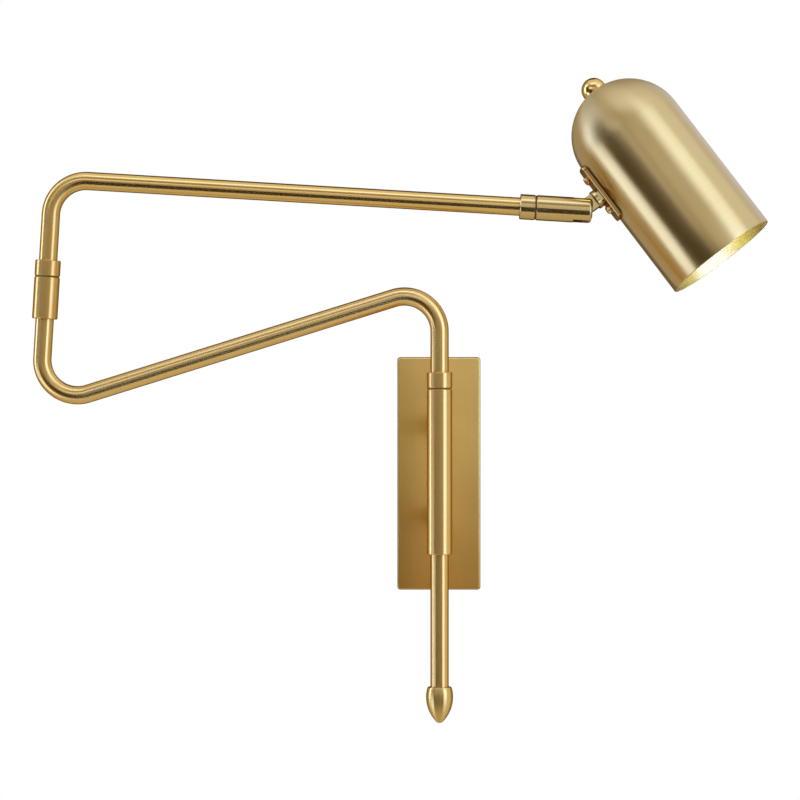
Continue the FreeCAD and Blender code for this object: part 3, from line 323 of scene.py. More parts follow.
rod_brass = brushed_metal("rod_brass", ROD_FRAME, AROUND, SLEEVE_TONES, roughness=0.3, around="Z")
elbow_brass = brushed_metal("elbow_brass", ELBOW_FRAME, AROUND, ELBOW_SHADED_TONES, roughness=0.33, around="Z")
arm_brass = brushed_metal("arm_brass", ARM_FRAME, AROUND, BARREL_TONES, roughness=0.19, around="X")
finial_brass = brushed_metal("finial_brass", ROD_FRAME, AROUND, TUBE_TONES, roughness=0.3, around="Z")
post_brass = brushed_metal("post_brass", POST_FRAME, AROUND, POST_TONES, roughness=0.38)
cap_brass = brushed_metal("cap_brass", SHADE_FRAME, AROUND, TUBE_TONES, roughness=0.16)
head_brass = brushed_metal("head_brass", STRIP_FRAME, ALONG_STRIP, HEAD_TONES, roughness=0.2)
coppery_brass = brushed_metal("coppery_brass", STRIP_FRAME, SCREW_CELL, COPPERY_TONES, roughness=0.13)
golden_brass = brushed_metal("golden_brass", STRIP_FRAME, SCREW_CELL, GOLDEN_TONES, roughness=0.13)
solder_brass = brushed_metal("solder_brass", ROD_FRAME, SOLDER_CELL, SOLDER_TONES, roughness=0.3,
                             scratch=SOLDER_RELIEF)
raw_brass = brushed_metal("raw_brass", WALL_FRAME, RAW_CELL, RAW_TONES, roughness=0.28)
zinc = brushed_metal("zinc", WALL_FRAME, ZINC_CELL, ZINC_TONES, roughness=0.34, rim=ZINC_RIM_TINT)
post_thread = threaded_metal("post_thread", POST_FRAME, NIPPLE_THREAD, NIPPLE_TONES, roughness=0.25)
holder_thread = threaded_metal("holder_thread", SHADE_FRAME, NIPPLE_THREAD, NIPPLE_TONES, roughness=0.25)
bulb_metal = threaded_metal("bulb_metal", SHADE_FRAME, BULB_THREAD, BULB_METAL_TONES, roughness=0.24)

# Tubes
TUBE_SPAN, TUBE_START = 400, Matrix.Translation((-mm(300), 0, 0))  # the span in millimetres
CROSSING_ROUGHNESS, SLOPING_ROUGHNESS, UPRIGHT_ROUGHNESS, RISER_ROUGHNESS = 0.20, 0.25, 0.29, 0.33
# painted reflection: the upright stretches are tinted warmer and a little darker, standing in for the warmer
# light they reflect
UPRIGHT_PAINTED_REFLECTION = (1, 0.94, 0.82)
# Share of the span, roughness
LOWER_TUBE_STEPS = ((0.07, UPRIGHT_ROUGHNESS), (0.11, SLOPING_ROUGHNESS),
                    (0.70, SLOPING_ROUGHNESS), (0.74, UPRIGHT_ROUGHNESS))
UPPER_TUBE_STEPS = ((0.07, RISER_ROUGHNESS), (0.11, CROSSING_ROUGHNESS))
# Share of the span, share of the colour: painted reflection, warmer and a little darker on the upright
# stretches
LOWER_REFLECTION_STEPS = ((0.07, UPRIGHT_PAINTED_REFLECTION), (0.11, 1), (0.70, 1), (0.74, UPRIGHT_PAINTED_REFLECTION))
UPPER_REFLECTION_STEPS = ((0.07, UPRIGHT_PAINTED_REFLECTION), (0.11, 1))


def make_tube_brass(name, tones, roughness_along, reflection_along):
    """Brass brushed around the tube, with its roughness and a share of its colour given in steps along X; the
    colour steps paint a warmer reflection on the upright stretches.
    """
    finish = Finish(name, metallic=1.0)
    finish.set("Specular Tint", RIM_TINT)
    fine = finish.fine(WALL_FRAME, ALONG_TUBE, BRUSHING)
    along = finish.share_along("X", TUBE_START, TUBE_SPAN)
    tone = finish.multiply(finish.clouded(tones, WALL_FRAME, BRUSHING), finish.steps(along, reflection_along))
    finish.grooved(tone, fine, TUBE_GROOVE_TONE)
    finish.rough(finish.steps(along, roughness_along))
    finish.bump(fine, TUBE_SCRATCH)
    finish.stretch(LONG_STRETCH, BRUSHING)
    return finish.material


lower_tube_brass = make_tube_brass("lower_tube_brass", ROD_TONES, LOWER_TUBE_STEPS, LOWER_REFLECTION_STEPS)
upper_tube_brass = make_tube_brass("upper_tube_brass", TUBE_TONES, UPPER_TUBE_STEPS, UPPER_REFLECTION_STEPS)

# Canopy
CANOPY_HEIGHT = 168  # millimetres
CANOPY_FOOT = Matrix.Translation((0, 0, -mm(CANOPY_HEIGHT) / 2))
CANOPY_ROUGHNESS, CANOPY_SMUDGE, CANOPY_STRETCH = 0.45, 0.01, 0.55
CANOPY_CLOUD_TONES = (0.97, 1.0)
# Share of the height, colour: painted shade, darker and browner towards the foot
CANOPY_FOOT_SHADE = ((0, (0.82, 0.40, 0.065)), (0.3, (0.90, 0.51, 0.10)),
                (0.6, (0.97, 0.60, 0.13)), (1, (0.99, 0.62, 0.145)))
# How squarely the surface faces the room, share of the colour: a painted highlight on the rounded edges and a
# painted dark reflection beyond them
CANOPY_EDGE_SHEEN_AND_SHADE = ((0.05, 0.9), (0.15, (0.3, 0.2, 0.1)), (0.78, (0.3, 0.2, 0.1)), (0.85, (1.05, 1.3, 1.6)),
                     (0.96, (1.05, 1.3, 1.6)), (0.99, 0.65), (0.999, 1.0))


def make_canopy_brass():
    """Upright brushing, with painted shade that darkens and browns it towards the foot. Its rounded edges
    carry a painted highlight in front and a painted dark reflection outside.
    """
    finish = Finish("canopy_brass", metallic=1.0)
    finish.set("Specular Tint", RIM_TINT)
    fine = finish.fine(WALL_FRAME, UPRIGHT)
    height = finish.share_along("Z", CANOPY_FOOT, CANOPY_HEIGHT)
    # painted shade: the colour darkens towards the canopy's foot
    tone = finish.multiply(finish.steps(height, CANOPY_FOOT_SHADE), finish.clouded(CANOPY_CLOUD_TONES, WALL_FRAME))
    # painted highlight and painted dark reflection along the rounded edges, set by which way the surface
    # faces
    tone = finish.multiply(tone, finish.steps(finish.facing("Y"), CANOPY_EDGE_SHEEN_AND_SHADE))
    finish.grooved(tone, fine, GROOVE_TONE)
    finish.smudged(WALL_FRAME, CANOPY_ROUGHNESS, CANOPY_SMUDGE)
    finish.bump(fine, BROAD_SCRATCH)
    finish.stretch(CANOPY_STRETCH, "Z", rotation=0.0)
    return finish.material


canopy_brass = make_canopy_brass()

# Shade, its lining and its strip
SHADE_TONES = ((0.625, 0.425, 0.150), (0.645, 0.445, 0.160))
SHADE_STRETCH = 0.8
DOME_TOP = SHADE_FRAME @ Matrix.Translation((0, 0, DOME_BASE - SHADE_RADIUS))
DOME_REACH = 55  # millimetres from the dome's top to where the shade is as smooth as further down
DOME_ROUGHNESS, SHADE_ROUGHNESS, DOME_BLEND = 0.44, 0.28, (0.2, 1.0)
LINING_START = SHADE_FRAME @ Matrix.Translation((-SHADE_RADIUS, 0, 0))
# Share of the way across from the strip's side, colour: painted light and shade, pale in the middle where the
# bulb lights it and dark yellow at the two sides
LINING_PAINTED_LIGHT = ((0.04, (0.12, 0.08, 0.012)), (0.28, (0.48, 0.43, 0.14)), (0.42, (0.96, 0.96, 0.94)),
                (0.60, (0.96, 0.96, 0.94)), (0.8, (0.64, 0.56, 0.15)), (0.96, (0.22, 0.15, 0.018)))
LINING_ROUGHNESS = (0.40, 0.50)
STRIP_TONES, STRIP_ROUGHNESS = ((0.90, 0.70, 0.32), (0.95, 0.76, 0.36)), (0.22, 0.26)
STRIP_DEPTH = 2  # millimetres
# Share of the depth behind the strip's face, share of the colour: painted shade that turns the cut side brown
# behind a narrow pale edge
STRIP_SIDE_SHADE = ((0.15, 1), (0.3, (0.42, 0.29, 0.17)))


def make_shade_brass():
    """Champagne brass, brushed round the shade, duller over its dome."""
    finish = Finish("shade_brass", metallic=1.0)
    fine = finish.fine(SHADE_FRAME, AROUND)
    finish.grooved(finish.clouded(SHADE_TONES, SHADE_FRAME), fine, GROOVE_TONE)
    height = finish.share_along("Z", DOME_TOP, DOME_REACH)
    finish.rough(finish.ramp(height, DOME_ROUGHNESS, SHADE_ROUGHNESS, *DOME_BLEND))
    finish.bump(fine, BROAD_SCRATCH)
    finish.stretch(SHADE_STRETCH, BRUSHING)
    return finish.material


def make_lining():
    """Pale paint inside the shade, with painted light and shade: bright in the middle, darker and yellower
    towards two sides.
    """
    finish = Finish("lining_paint")
    grains = finish.fine(SHADE_FRAME, GRAIN_CELL)
    # painted light and shade across the lining
    tone = finish.steps(finish.share_along("X", LINING_START, SHADE_SPAN), LINING_PAINTED_LIGHT)
    finish.colour(finish.multiply(tone, finish.ramp(grains, GRAIN_TONE, 1.0)))
    finish.rough(finish.ramp(grains, *LINING_ROUGHNESS))
    finish.bump(grains, PAINT_RELIEF)
    return finish.material


def make_strip_brass():
    """Brass with a pale face and painted shade that makes its cut side brown."""
    finish = Finish("strip_brass", metallic=1.0)
    finish.set("Specular Tint", RIM_TINT)
    fine = finish.fine(STRIP_FRAME, ALONG_STRIP)
    # painted shade on the strip's cut side
    painted_side_shade = finish.steps(finish.share_along("Z", STRIP_FRAME, STRIP_DEPTH), STRIP_SIDE_SHADE)
    finish.colour(finish.multiply(finish.ramp(fine, *STRIP_TONES), painted_side_shade))
    finish.rough(finish.ramp(fine, *STRIP_ROUGHNESS))
    finish.bump(fine, SCRATCH)
    return finish.material


shade_brass = make_shade_brass()
lining_paint = make_lining()
strip_brass = make_strip_brass()

# Plastics and fibre
FIBRE_TONES = ((0.09, 0.045, 0.016), (0.14, 0.075, 0.03))
NYLON_TONES = ((0.74, 0.72, 0.66), (0.82, 0.80, 0.75))
BLOCK_TONES = ((0.78, 0.76, 0.70), (0.86, 0.84, 0.79))
HOLDER_TONES = ((0.80, 0.78, 0.72), (0.88, 0.86, 0.81))


def moulded(name, tones, roughness, relief=MOULDED_RELIEF, coat=0.0, gloss=0.5):
    """Moulded or fibrous material with a fine even grain."""
    finish = Finish(name)
    grains = finish.fine(WALL_FRAME, GRAIN_CELL)
    finish.colour(finish.ramp(finish.noise(WALL_FRAME, MOULDED_CLOUD_CELL), *tones))
    finish.rough(finish.ramp(grains, roughness - MOULDED_SMUDGE, roughness + MOULDED_SMUDGE))
    finish.bump(grains, relief)
    finish.set("Coat Weight", coat)
    finish.set("Specular IOR Level", gloss)
    return finish.material


fibre = moulded("fibre", FIBRE_TONES, roughness=0.8, relief=FIBRE_RELIEF, gloss=0.15)
nylon = moulded("nylon", NYLON_TONES, roughness=0.45)
block_plastic = moulded("block_plastic", BLOCK_TONES, roughness=0.4, coat=0.2)
holder_plastic = moulded("holder_plastic", HOLDER_TONES, roughness=0.35, coat=0.3)

# Bulb
OPAL_TONES, OPAL_ROUGHNESS, OPAL_COAT = ((0.92, 0.87, 0.74), (0.97, 0.93, 0.82)), (0.30, 0.42), 0.4
BULB_GLOW, BULB_STRENGTH = (1.0, 0.96, 0.84, 1), 9.5


def make_bulb_glass():
    """Opal glass, lit from inside with a warm light."""
    finish = Finish("bulb_glass")
    finish.colour(finish.ramp(finish.noise(SHADE_FRAME, SPOT_CELL), *OPAL_TONES))
    grain = finish.noise(SHADE_FRAME, OPAL_CELL)
    finish.rough(finish.ramp(grain, *OPAL_ROUGHNESS))
    finish.bump(grain, OPAL_RELIEF)
    finish.set("Coat Weight", OPAL_COAT)
    finish.set("Emission Color", BULB_GLOW)
    finish.set("Emission Strength", BULB_STRENGTH)
    return finish.material


bulb_glass = make_bulb_glass()

FINISHES = {
    rod_brass: ["rod_sleeve", "rod_collar"],
    elbow_brass: ["elbow_sleeve", "elbow_collar"],
    arm_brass: ["arm_end_collar", "knuckle_barrel"],
    post_brass: ["upper_post", "lower_post"],
    canopy_brass: ["canopy"],
    cap_brass: ["cap_nut"],
    head_brass: ["knuckle_tongue", "lock_nut"],
    strip_brass: ["shade_strip"],
    raw_brass: ["end_insert", "elbow_spindle", "elbow_nut", "swivel_insert", "swivel_bolt", "holder_shell",
                "nipple_nuts", "dome_nut", "stem_nut", "strip_nuts", "terminal_screws"],
    post_thread: ["upper_nipple", "lower_nipple"],
    holder_thread: ["holder_nipple"],
    zinc: ["crossbar", "earth_screw", "earth_washer", "pivot_screw", "spring_washer"],
    fibre: ["rod_washer", "elbow_washer", "swivel_washer", "pivot_washers"],
    nylon: ["upper_bushing", "lower_bushing", "elbow_bushing"],
    block_plastic: ["terminal_block"],
    holder_plastic: ["lamp_holder"],
    bulb_metal: ["bulb_cap"],
    bulb_glass: ["bulb_globe"],
}


def dress_frame():
    """Gives each frame node that is shown as it is its material."""
    for material, names in FINISHES.items():
        for name in names:
            slots = nodes[name].data.materials
            slots.clear()
            slots.append(material)


dress_frame()


# Mesh code for the pieces that the scene makes, most of them in place of a plainer frame node

SHARP_ANGLE = math.radians(32)
TINY, MERGE_DISTANCE = 1e-9, 1e-7  # metres
FULL_TURN = 2 * math.pi


def new_object(name, data):
    """An object that holds the given data, put in the scene."""
    thing = bpy.data.objects.new(name, data)
    bpy.context.scene.collection.objects.link(thing)
    return thing


def finish_mesh(name, data, materials, body, replaced=()):
    """Turns mesh data into a named piece that rides on a body."""
    bmesh.ops.remove_doubles(data, verts=data.verts, dist=MERGE_DISTANCE)
    bmesh.ops.recalc_face_normals(data, faces=data.faces)
    for face in data.faces:
        face.smooth = True
    for edge in data.edges:
        edge.smooth = len(edge.link_faces) == 2 and edge.calc_face_angle(0) < SHARP_ANGLE
    mesh = bpy.data.meshes.new(name)
    data.to_mesh(mesh)
    data.free()
    for material in materials:
        mesh.materials.append(material)
    piece = new_object(name, mesh)
    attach(piece, body)
    if replaced:
        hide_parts(*replaced)


def bent_line(corners, radius, steps):
    """Points and directions of a line through corners, with an arc of the given radius at each inner one."""
    line = [(corners[0], (corners[1] - corners[0]).normalized())]
    for before, corner, after in zip(corners, corners[1:], corners[2:]):
        incoming, outgoing = (corner - before).normalized(), (after - corner).normalized()
        turn = incoming.angle(outgoing)
        axis = incoming.cross(outgoing).normalized()
        start = corner - incoming * (radius * math.tan(turn / 2))
        centre = start + axis.cross(incoming) * radius
        for step in range(steps + 1):
            turned = Matrix.Rotation(turn * step / steps, 3, axis)
            line.append((centre + turned @ (start - centre), turned @ incoming))
    line.append((corners[-1], (corners[-1] - corners[-2]).normalized()))
    return line


def sweep_tube(name, corners, material, body, replaced):
    """A bent tube with open ends. Its brushing map holds metres around and metres along."""
    sides = TUBE_SIDES
    line = bent_line(corners, BEND_RADIUS, BEND_STEPS)
    data = bmesh.new()
    uv_layer = data.loops.layers.uv.new(BRUSHING)
    lengths = [0.0]
    for (before, _), (after, _) in zip(line, line[1:]):
        lengths.append(lengths[-1] + (after - before).length)
    turns = [FULL_TURN * side / sides for side in range(sides)]
    rings = []
    for radius in (TUBE_RADIUS, TUBE_RADIUS - TUBE_WALL):
        for place, direction in line:
            across = TO_WALL.cross(direction).normalized()
            outward = [across * math.cos(turn) + TO_WALL * math.sin(turn) for turn in turns]
            rings.append([data.verts.new(place + away * radius) for away in outward])
    count = len(line)

    def join(first, second, first_length, second_length, flip):
        for side in range(sides):
            after = (side + 1) % sides
            corners_of_face = [(first[side], side, first_length), (first[after], side + 1, first_length),
                               (second[after], side + 1, second_length), (second[side], side, second_length)]
            if flip:
                corners_of_face.reverse()
            face = data.faces.new([vertex for vertex, _, _ in corners_of_face])
            for loop, (_, around, along) in zip(face.loops, corners_of_face):
                loop[uv_layer].uv = (FULL_TURN * TUBE_RADIUS * around / sides, along)

    for step in range(count - 1):
        join(rings[step], rings[step + 1], lengths[step], lengths[step + 1], False)
        join(rings[count + step], rings[count + step + 1], lengths[step], lengths[step + 1], True)
    join(rings[count], rings[0], lengths[0] - TUBE_WALL, lengths[0], False)
    join(rings[count - 1], rings[2 * count - 1], lengths[-1], lengths[-1] + TUBE_WALL, False)
    finish_mesh(name, data, [material], body, replaced)


def arc_points(centre, radius, start, end, steps):
    """Points of an arc in a profile, with angles in degrees from the radius direction."""
    turns = [math.radians(start + (end - start) * step / steps) for step in range(steps + 1)]
    return [(centre[0] + radius * math.cos(turn), centre[1] + radius * math.sin(turn)) for turn in turns]


def lathe(data, profile, place, segments, material_of=None):
    """Turns a closed profile about the frame's Z. Its points are (radius, height).

    A ring that isn't round has an outline as well, a function that gives the share of the radius at a turn.
    The brushing map holds metres around and metres along the profile. material_of gives the material's number
    for the stretch of the profile that starts at a point."""
    uv_layer = data.loops.layers.uv.verify()
    widest = max(point[0] for point in profile)
    lengths = [0.0]
    for before, after in zip(profile, profile[1:] + profile[:1]):
        lengths.append(lengths[-1] + math.dist(before[:2], after[:2]))
    rings = []
    for segment in range(segments):
        turn = FULL_TURN * segment / segments
        ring = []
        for radius, height, *outline in profile:
            reach = radius * outline[0](turn) if outline else radius
            point = Vector((reach * math.cos(turn), reach * math.sin(turn), height))
            ring.append(data.verts.new(place @ point))
        rings.append(ring)
    for segment in range(segments):
        for number in range(len(profile)):
            following = (number + 1) % len(profile)
            corners = [(segment, number), (segment + 1, number)]
            corners += [(segment + 1, following), (segment, following)]
            if profile[number][0] < TINY:
                corners.pop(1)
            if profile[following][0] < TINY:
                corners.pop(-2)
            if len(corners) < 3:
                continue
            face = data.faces.new([rings[turned % segments][point] for turned, point in corners])
            for loop, (turned, point) in zip(face.loops, corners):
                along = lengths[number] if point == number else lengths[number + 1]
                loop[uv_layer].uv = (FULL_TURN * widest * turned / segments, along)
            if material_of:
                face.material_index = material_of(number)


def new_turned_data():
    """Empty mesh data with a brushing map."""
    data = bmesh.new()
    data.loops.layers.uv.new(BRUSHING)
    return data


# Arms

TUBE_RADIUS, TUBE_WALL, BEND_RADIUS = mm(6.5), mm(1.2), mm(25)
HALF_JOINT_GAP = mm(0.4)
LOWER_BEND_HEIGHT, ELBOW_HEIGHT, UPPER_RISER = mm(135.5), mm(94), mm(69.5)
STUB_TOP = mm(15.44)  # below the elbow joint, where the stub meets its bushing
TUBE_SIDES, BEND_STEPS = 64, 40
ROD_END = Vector((ROD_PLACE.x, ROD_PLACE.y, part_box("lower_arm_tube")[0].z))


def make_arm_tubes():
    """Rod, lower arm and elbow stub in one bent tube, and riser and upper arm in another."""
    rod_corner = ROD_PLACE + ROD_AXIS * LOWER_BEND_HEIGHT
    lower_corner = ELBOW_PLACE - ELBOW_AXIS * ELBOW_HEIGHT
    corners = [ROD_END, rod_corner, lower_corner, ELBOW_PLACE - ELBOW_AXIS * STUB_TOP]
    sweep_tube("lower_arm", corners, lower_tube_brass, "lower_arm", ["lower_arm_tube"])
    upper_corner = ELBOW_PLACE + ELBOW_AXIS * UPPER_RISER
    riser_foot, arm_end = ELBOW_PLACE + ELBOW_AXIS * HALF_JOINT_GAP, SWIVEL_PLACE - ARM_AXIS * HALF_JOINT_GAP
    corners = [riser_foot, upper_corner, arm_end]
    sweep_tube("upper_arm", corners, upper_tube_brass, "upper_arm", ["upper_arm_tube"])


make_arm_tubes()

# Finial

FINIAL_HEIGHT, FINIAL_SHOULDER = mm(25.7), mm(7.1)
FINIAL_TOP, FINIAL_WIDEST, FINIAL_EDGE, FINIAL_TIP = mm(8.4), mm(9.6), mm(0.8), mm(3.5)  # radii
FINIAL_STUD, FINIAL_STUD_LENGTH = mm(3), mm(11)
FINIAL_SEGMENTS, TIP_STEPS, FLANK_STEPS, SHOULDER_STEPS, EDGE_STEPS = 96, 8, 28, 12, 6


def make_finial():
    """Acorn whose shoulder and flank meet smoothly where it is widest, with a stud into the rod."""
    bulge = FINIAL_WIDEST - FINIAL_TOP
    shoulder = (FINIAL_SHOULDER ** 2 + bulge ** 2) / (2 * bulge)
    drop = FINIAL_HEIGHT - FINIAL_TIP - FINIAL_SHOULDER
    flank = (FINIAL_WIDEST ** 2 + drop ** 2 - FINIAL_TIP ** 2) / (2 * (FINIAL_WIDEST - FINIAL_TIP))
    flank_turn = math.degrees(math.atan2(drop, flank - FINIAL_WIDEST))
    edge_turn = math.asin((FINIAL_SHOULDER - FINIAL_EDGE) / (shoulder - FINIAL_EDGE))
    edge_middle = FINIAL_WIDEST - shoulder + (shoulder - FINIAL_EDGE) * math.cos(edge_turn)
    edge_turn = math.degrees(edge_turn)
    profile = arc_points((0, FINIAL_TIP - FINIAL_HEIGHT), FINIAL_TIP, -90, -flank_turn, TIP_STEPS)
    flank_middle = (FINIAL_WIDEST - flank, -FINIAL_SHOULDER)
    profile += arc_points(flank_middle, flank, -flank_turn, 0, FLANK_STEPS)[1:]
    shoulder_middle = (FINIAL_WIDEST - shoulder, -FINIAL_SHOULDER)
    profile += arc_points(shoulder_middle, shoulder, 0, edge_turn, SHOULDER_STEPS)[1:]
    profile += arc_points((edge_middle, -FINIAL_EDGE), FINIAL_EDGE, edge_turn, 90, EDGE_STEPS)[1:]
    profile += [(FINIAL_STUD, 0), (FINIAL_STUD, FINIAL_STUD_LENGTH), (0, FINIAL_STUD_LENGTH)]
    data = new_turned_data()
    lathe(data, profile, frame_along(ROD_END, ROD_AXIS, TO_WALL), FINIAL_SEGMENTS)
    finish_mesh("acorn_finial", data, [finial_brass], "lower_arm", ["end_finial"])


make_finial()

# Shade

SHADE_SEGMENTS, DOME_STEPS, SHADE_RIM_STEPS, STRAIGHT_SPANS = 160, 40, 8, 4


def make_shade():
    """Cylinder with a half-round dome, brass outside and painted inside."""
    inner, half_wall = SHADE_RADIUS - SHADE_WALL, SHADE_WALL / 2
    hole_turn = math.degrees(math.acos(DOME_HOLE / SHADE_RADIUS))
    inner_turn = math.degrees(math.acos(DOME_HOLE / inner))
    outside = arc_points((0, DOME_BASE), SHADE_RADIUS, -hole_turn, 0, DOME_STEPS)
    span = (SHADE_RIM - DOME_BASE) / STRAIGHT_SPANS
    straight = [(SHADE_RADIUS, DOME_BASE + span * number) for number in range(1, STRAIGHT_SPANS)]
    rim = arc_points((SHADE_RADIUS - half_wall, SHADE_RIM - half_wall), half_wall, 0, 180, SHADE_RIM_STEPS)
    inside = arc_points((0, DOME_BASE), inner, 0, -inner_turn, DOME_STEPS)
    profile = outside + straight + rim + inside
    first_inside = len(outside) + len(straight) + len(rim) // 2
    data = new_turned_data()
    lathe(data, profile, SHADE_FRAME, SHADE_SEGMENTS, lambda number: int(number >= first_inside))
    finish_mesh("shade_spun", data, [shade_brass, lining_paint], "head", ["shade"])


make_shade()

# Screws with their recesses

SCREW_SEGMENTS, HEAD_STEPS = 96, 8
STRIP_SCREW_OFFSET, STRIP_SCREW_RADIUS, STRIP_SCREW_END = mm(12.8), mm(1.5), mm(6.5)
STRIP_HEAD_RADIUS, STRIP_HEAD_HEIGHT, STRIP_HEAD_ROUND = mm(3.15), mm(2.8), mm(1.4)
CROSS_REACH, CROSS_DEPTH = mm(1.45), mm(1.3)
CROSS_WIDTH, CROSS_FLOOR = 0.27, 0.75  # of its reach: half an arm's width, and the reach at the floor
SIDE_SCREW_PLACE = mm(30, -8, -26)
SET_SCREW_RADIUS, SET_SCREW_LENGTH, SET_SCREW_EDGE, SOCKET_FLATS = mm(2), mm(5), mm(0.2), mm(2)
COLLAR_SCREW_PLACE, COLLAR_SCREW_LENGTH = mm(0, -50.5, 67), mm(1.96)


def cross_outline(turn):
    """A cross with four arms, as a share of its reach."""
    quarter = math.pi / 2
    beside = abs((turn + quarter / 2) % quarter - quarter / 2)
    return min(1 / math.cos(beside), CROSS_WIDTH / max(math.sin(beside), TINY))


def hexagon_outline(turn):
    """A hexagon, as a share of the distance from its middle to a flat."""
    sixth = math.pi / 3
    return 1 / math.cos((turn + sixth / 2) % sixth - sixth / 2)


def make_strip_screws():
    """Two pan-head screws with cross recesses: a coppery one near the dome and a golden one near the rim."""
    data = new_turned_data()
    head_middle = (STRIP_HEAD_RADIUS - STRIP_HEAD_ROUND, STRIP_HEAD_HEIGHT - STRIP_HEAD_ROUND)
    head = arc_points(head_middle, STRIP_HEAD_ROUND, 0, 90, HEAD_STEPS)
    floor = STRIP_HEAD_HEIGHT - CROSS_DEPTH
    profile = [(0, -STRIP_SCREW_END), (STRIP_SCREW_RADIUS, -STRIP_SCREW_END), (STRIP_SCREW_RADIUS, 0)]
    profile += [(STRIP_HEAD_RADIUS, 0)] + head + [(CROSS_REACH, STRIP_HEAD_HEIGHT, cross_outline)]
    profile += [(CROSS_REACH * CROSS_FLOOR, floor, cross_outline), (0, floor)]
    for side in (-1, 1):
        place = STRIP_PLACE + SHADE_AXIS * STRIP_SCREW_OFFSET * side
        outward = frame_along(place, -TONGUE_AXIS, PIVOT_AXIS)
        lathe(data, profile, outward, SCREW_SEGMENTS, lambda number: int(side > 0))
    finishes = [coppery_brass, golden_brass]
    finish_mesh("strip_pan_screws", data, finishes, "head", ["strip_screws"])


def set_screw_profile(length):
    """Headless screw with a hexagon socket, its outer end at the frame's origin."""
    flat, point = SOCKET_FLATS / 2, SET_SCREW_RADIUS / 2
    return [(0, -length), (SET_SCREW_RADIUS - point, -length), (SET_SCREW_RADIUS, point - length),
            (SET_SCREW_RADIUS, -SET_SCREW_EDGE), (SET_SCREW_RADIUS - SET_SCREW_EDGE, 0),
            (flat, 0, hexagon_outline), (flat, -length / 2, hexagon_outline), (0, -length / 2)]


def make_set_screws():
    """The canopy's two side screws and the collar's screw on the wall side."""
    data = new_turned_data()
    for side in (-1, 1):
        place = Vector((SIDE_SCREW_PLACE.x * side, SIDE_SCREW_PLACE.y, SIDE_SCREW_PLACE.z))
        outward = frame_along(place, Vector((side, 0, 0)), UP)
        lathe(data, set_screw_profile(SET_SCREW_LENGTH), outward, SCREW_SEGMENTS)
    finish_mesh("canopy_set_screws", data, [zinc], "wall_bracket", ["canopy_screws"])
    data = new_turned_data()
    outward = frame_along(COLLAR_SCREW_PLACE, TO_WALL, UP)
    lathe(data, set_screw_profile(COLLAR_SCREW_LENGTH), outward, SCREW_SEGMENTS)
    finish_mesh("collar_set_screw", data, [zinc], "lower_arm", ["rod_collar_screw"])


make_strip_screws()
make_set_screws()

# Solder where the posts meet the sleeve

POST_HEIGHTS = (mm(35), mm(-31))
POST_RADIUS, SLEEVE_RADIUS = mm(7), mm(9)
SOLDER_SIZE, SOLDER_OVERLAP = mm(1.2), mm(0.03)
SOLDER_SIDES, SOLDER_STEPS = 96, 6


def make_solder():
    """A hollow fillet around the end of each post, laid over the sleeve's curve."""
    data = bmesh.new()
    sides, steps = SOLDER_SIDES, SOLDER_STEPS
    for height in POST_HEIGHTS:
        rows = []
        for step in range(steps + 1):
            turn = math.pi / 2 * step / steps
            out, rise = 1 - math.sin(turn), 1 - math.cos(turn)
            rows.append((POST_RADIUS + SOLDER_SIZE * out, SOLDER_SIZE * rise))
        rows.append((POST_RADIUS - SOLDER_OVERLAP, -SOLDER_OVERLAP))
        rings = []
        for reach, rise in rows:
            ring = []
            for side in range(sides):
                turn = FULL_TURN * side / sides
                x = reach * math.cos(turn)
                y = ROD_PLACE.y + math.sqrt(SLEEVE_RADIUS ** 2 - x ** 2) + rise
                ring.append(data.verts.new((x, y, height + reach * math.sin(turn))))
            rings.append(ring)
        for here, after in zip(rings, rings[1:] + rings[:1]):
            for side in range(sides):
                beside = (side + 1) % sides
                data.faces.new([here[side], here[beside], after[beside], after[side]])
    finish_mesh("post_solder", data, [solder_brass], "wall_bracket")


make_solder()

# Floor

FLOOR_LEVEL, FLOOR_HALF, FLOOR_COLOUR = -1.25, 30.0, (0.9, 0.9, 0.9, 1)
FADE_START, FADE_END = 1.4, 3.6  # from the lamp, in metres


def emptied_tree(owner):
    """The node tree of a new material or world, without the nodes that it starts with."""
    owner.use_nodes = True
    owner.node_tree.nodes.clear()
    return owner.node_tree


def coloured_node(tree, kind, colour):
    """A new shader node of one colour."""
    node = tree.nodes.new(kind)
    node.inputs["Color"].default_value = colour
    return node


def make_floor():
    """Pale floor: near the lamp it takes light and shadow, and further out it fades to white."""
    material = bpy.data.materials.new("pale_floor")
    tree = emptied_tree(material)
    place = tree.nodes.new("ShaderNodeTexCoord")
    distance = tree.nodes.new("ShaderNodeVectorMath")
    distance.operation = "LENGTH"
    fade = tree.nodes.new("ShaderNodeMapRange")
    fade.inputs["From Min"].default_value = FADE_START
    fade.inputs["From Max"].default_value = FADE_END
    fade.interpolation_type = "SMOOTHSTEP"
    pale = coloured_node(tree, "ShaderNodeBsdfDiffuse", FLOOR_COLOUR)
    white = coloured_node(tree, "ShaderNodeEmission", WHITE)
    blend = tree.nodes.new("ShaderNodeMixShader")
    output = tree.nodes.new("ShaderNodeOutputMaterial")
    tree.links.new(place.outputs["Object"], distance.inputs[0])
    tree.links.new(distance.outputs["Value"], fade.inputs["Value"])
    tree.links.new(fade.outputs["Result"], blend.inputs["Fac"])
    tree.links.new(pale.outputs["BSDF"], blend.inputs[1])
    tree.links.new(white.outputs["Emission"], blend.inputs[2])
    tree.links.new(blend.outputs["Shader"], output.inputs["Surface"])
    half = FLOOR_HALF
    corners = [(-half, -half, 0), (half, -half, 0), (half, half, 0), (-half, half, 0)]
    mesh = bpy.data.meshes.new("floor")
    mesh.from_pydata(corners, [], [(0, 1, 2, 3)])
    mesh.materials.append(material)
    floor = new_object("floor", mesh)
    floor.location = (0, 0, FLOOR_LEVEL)


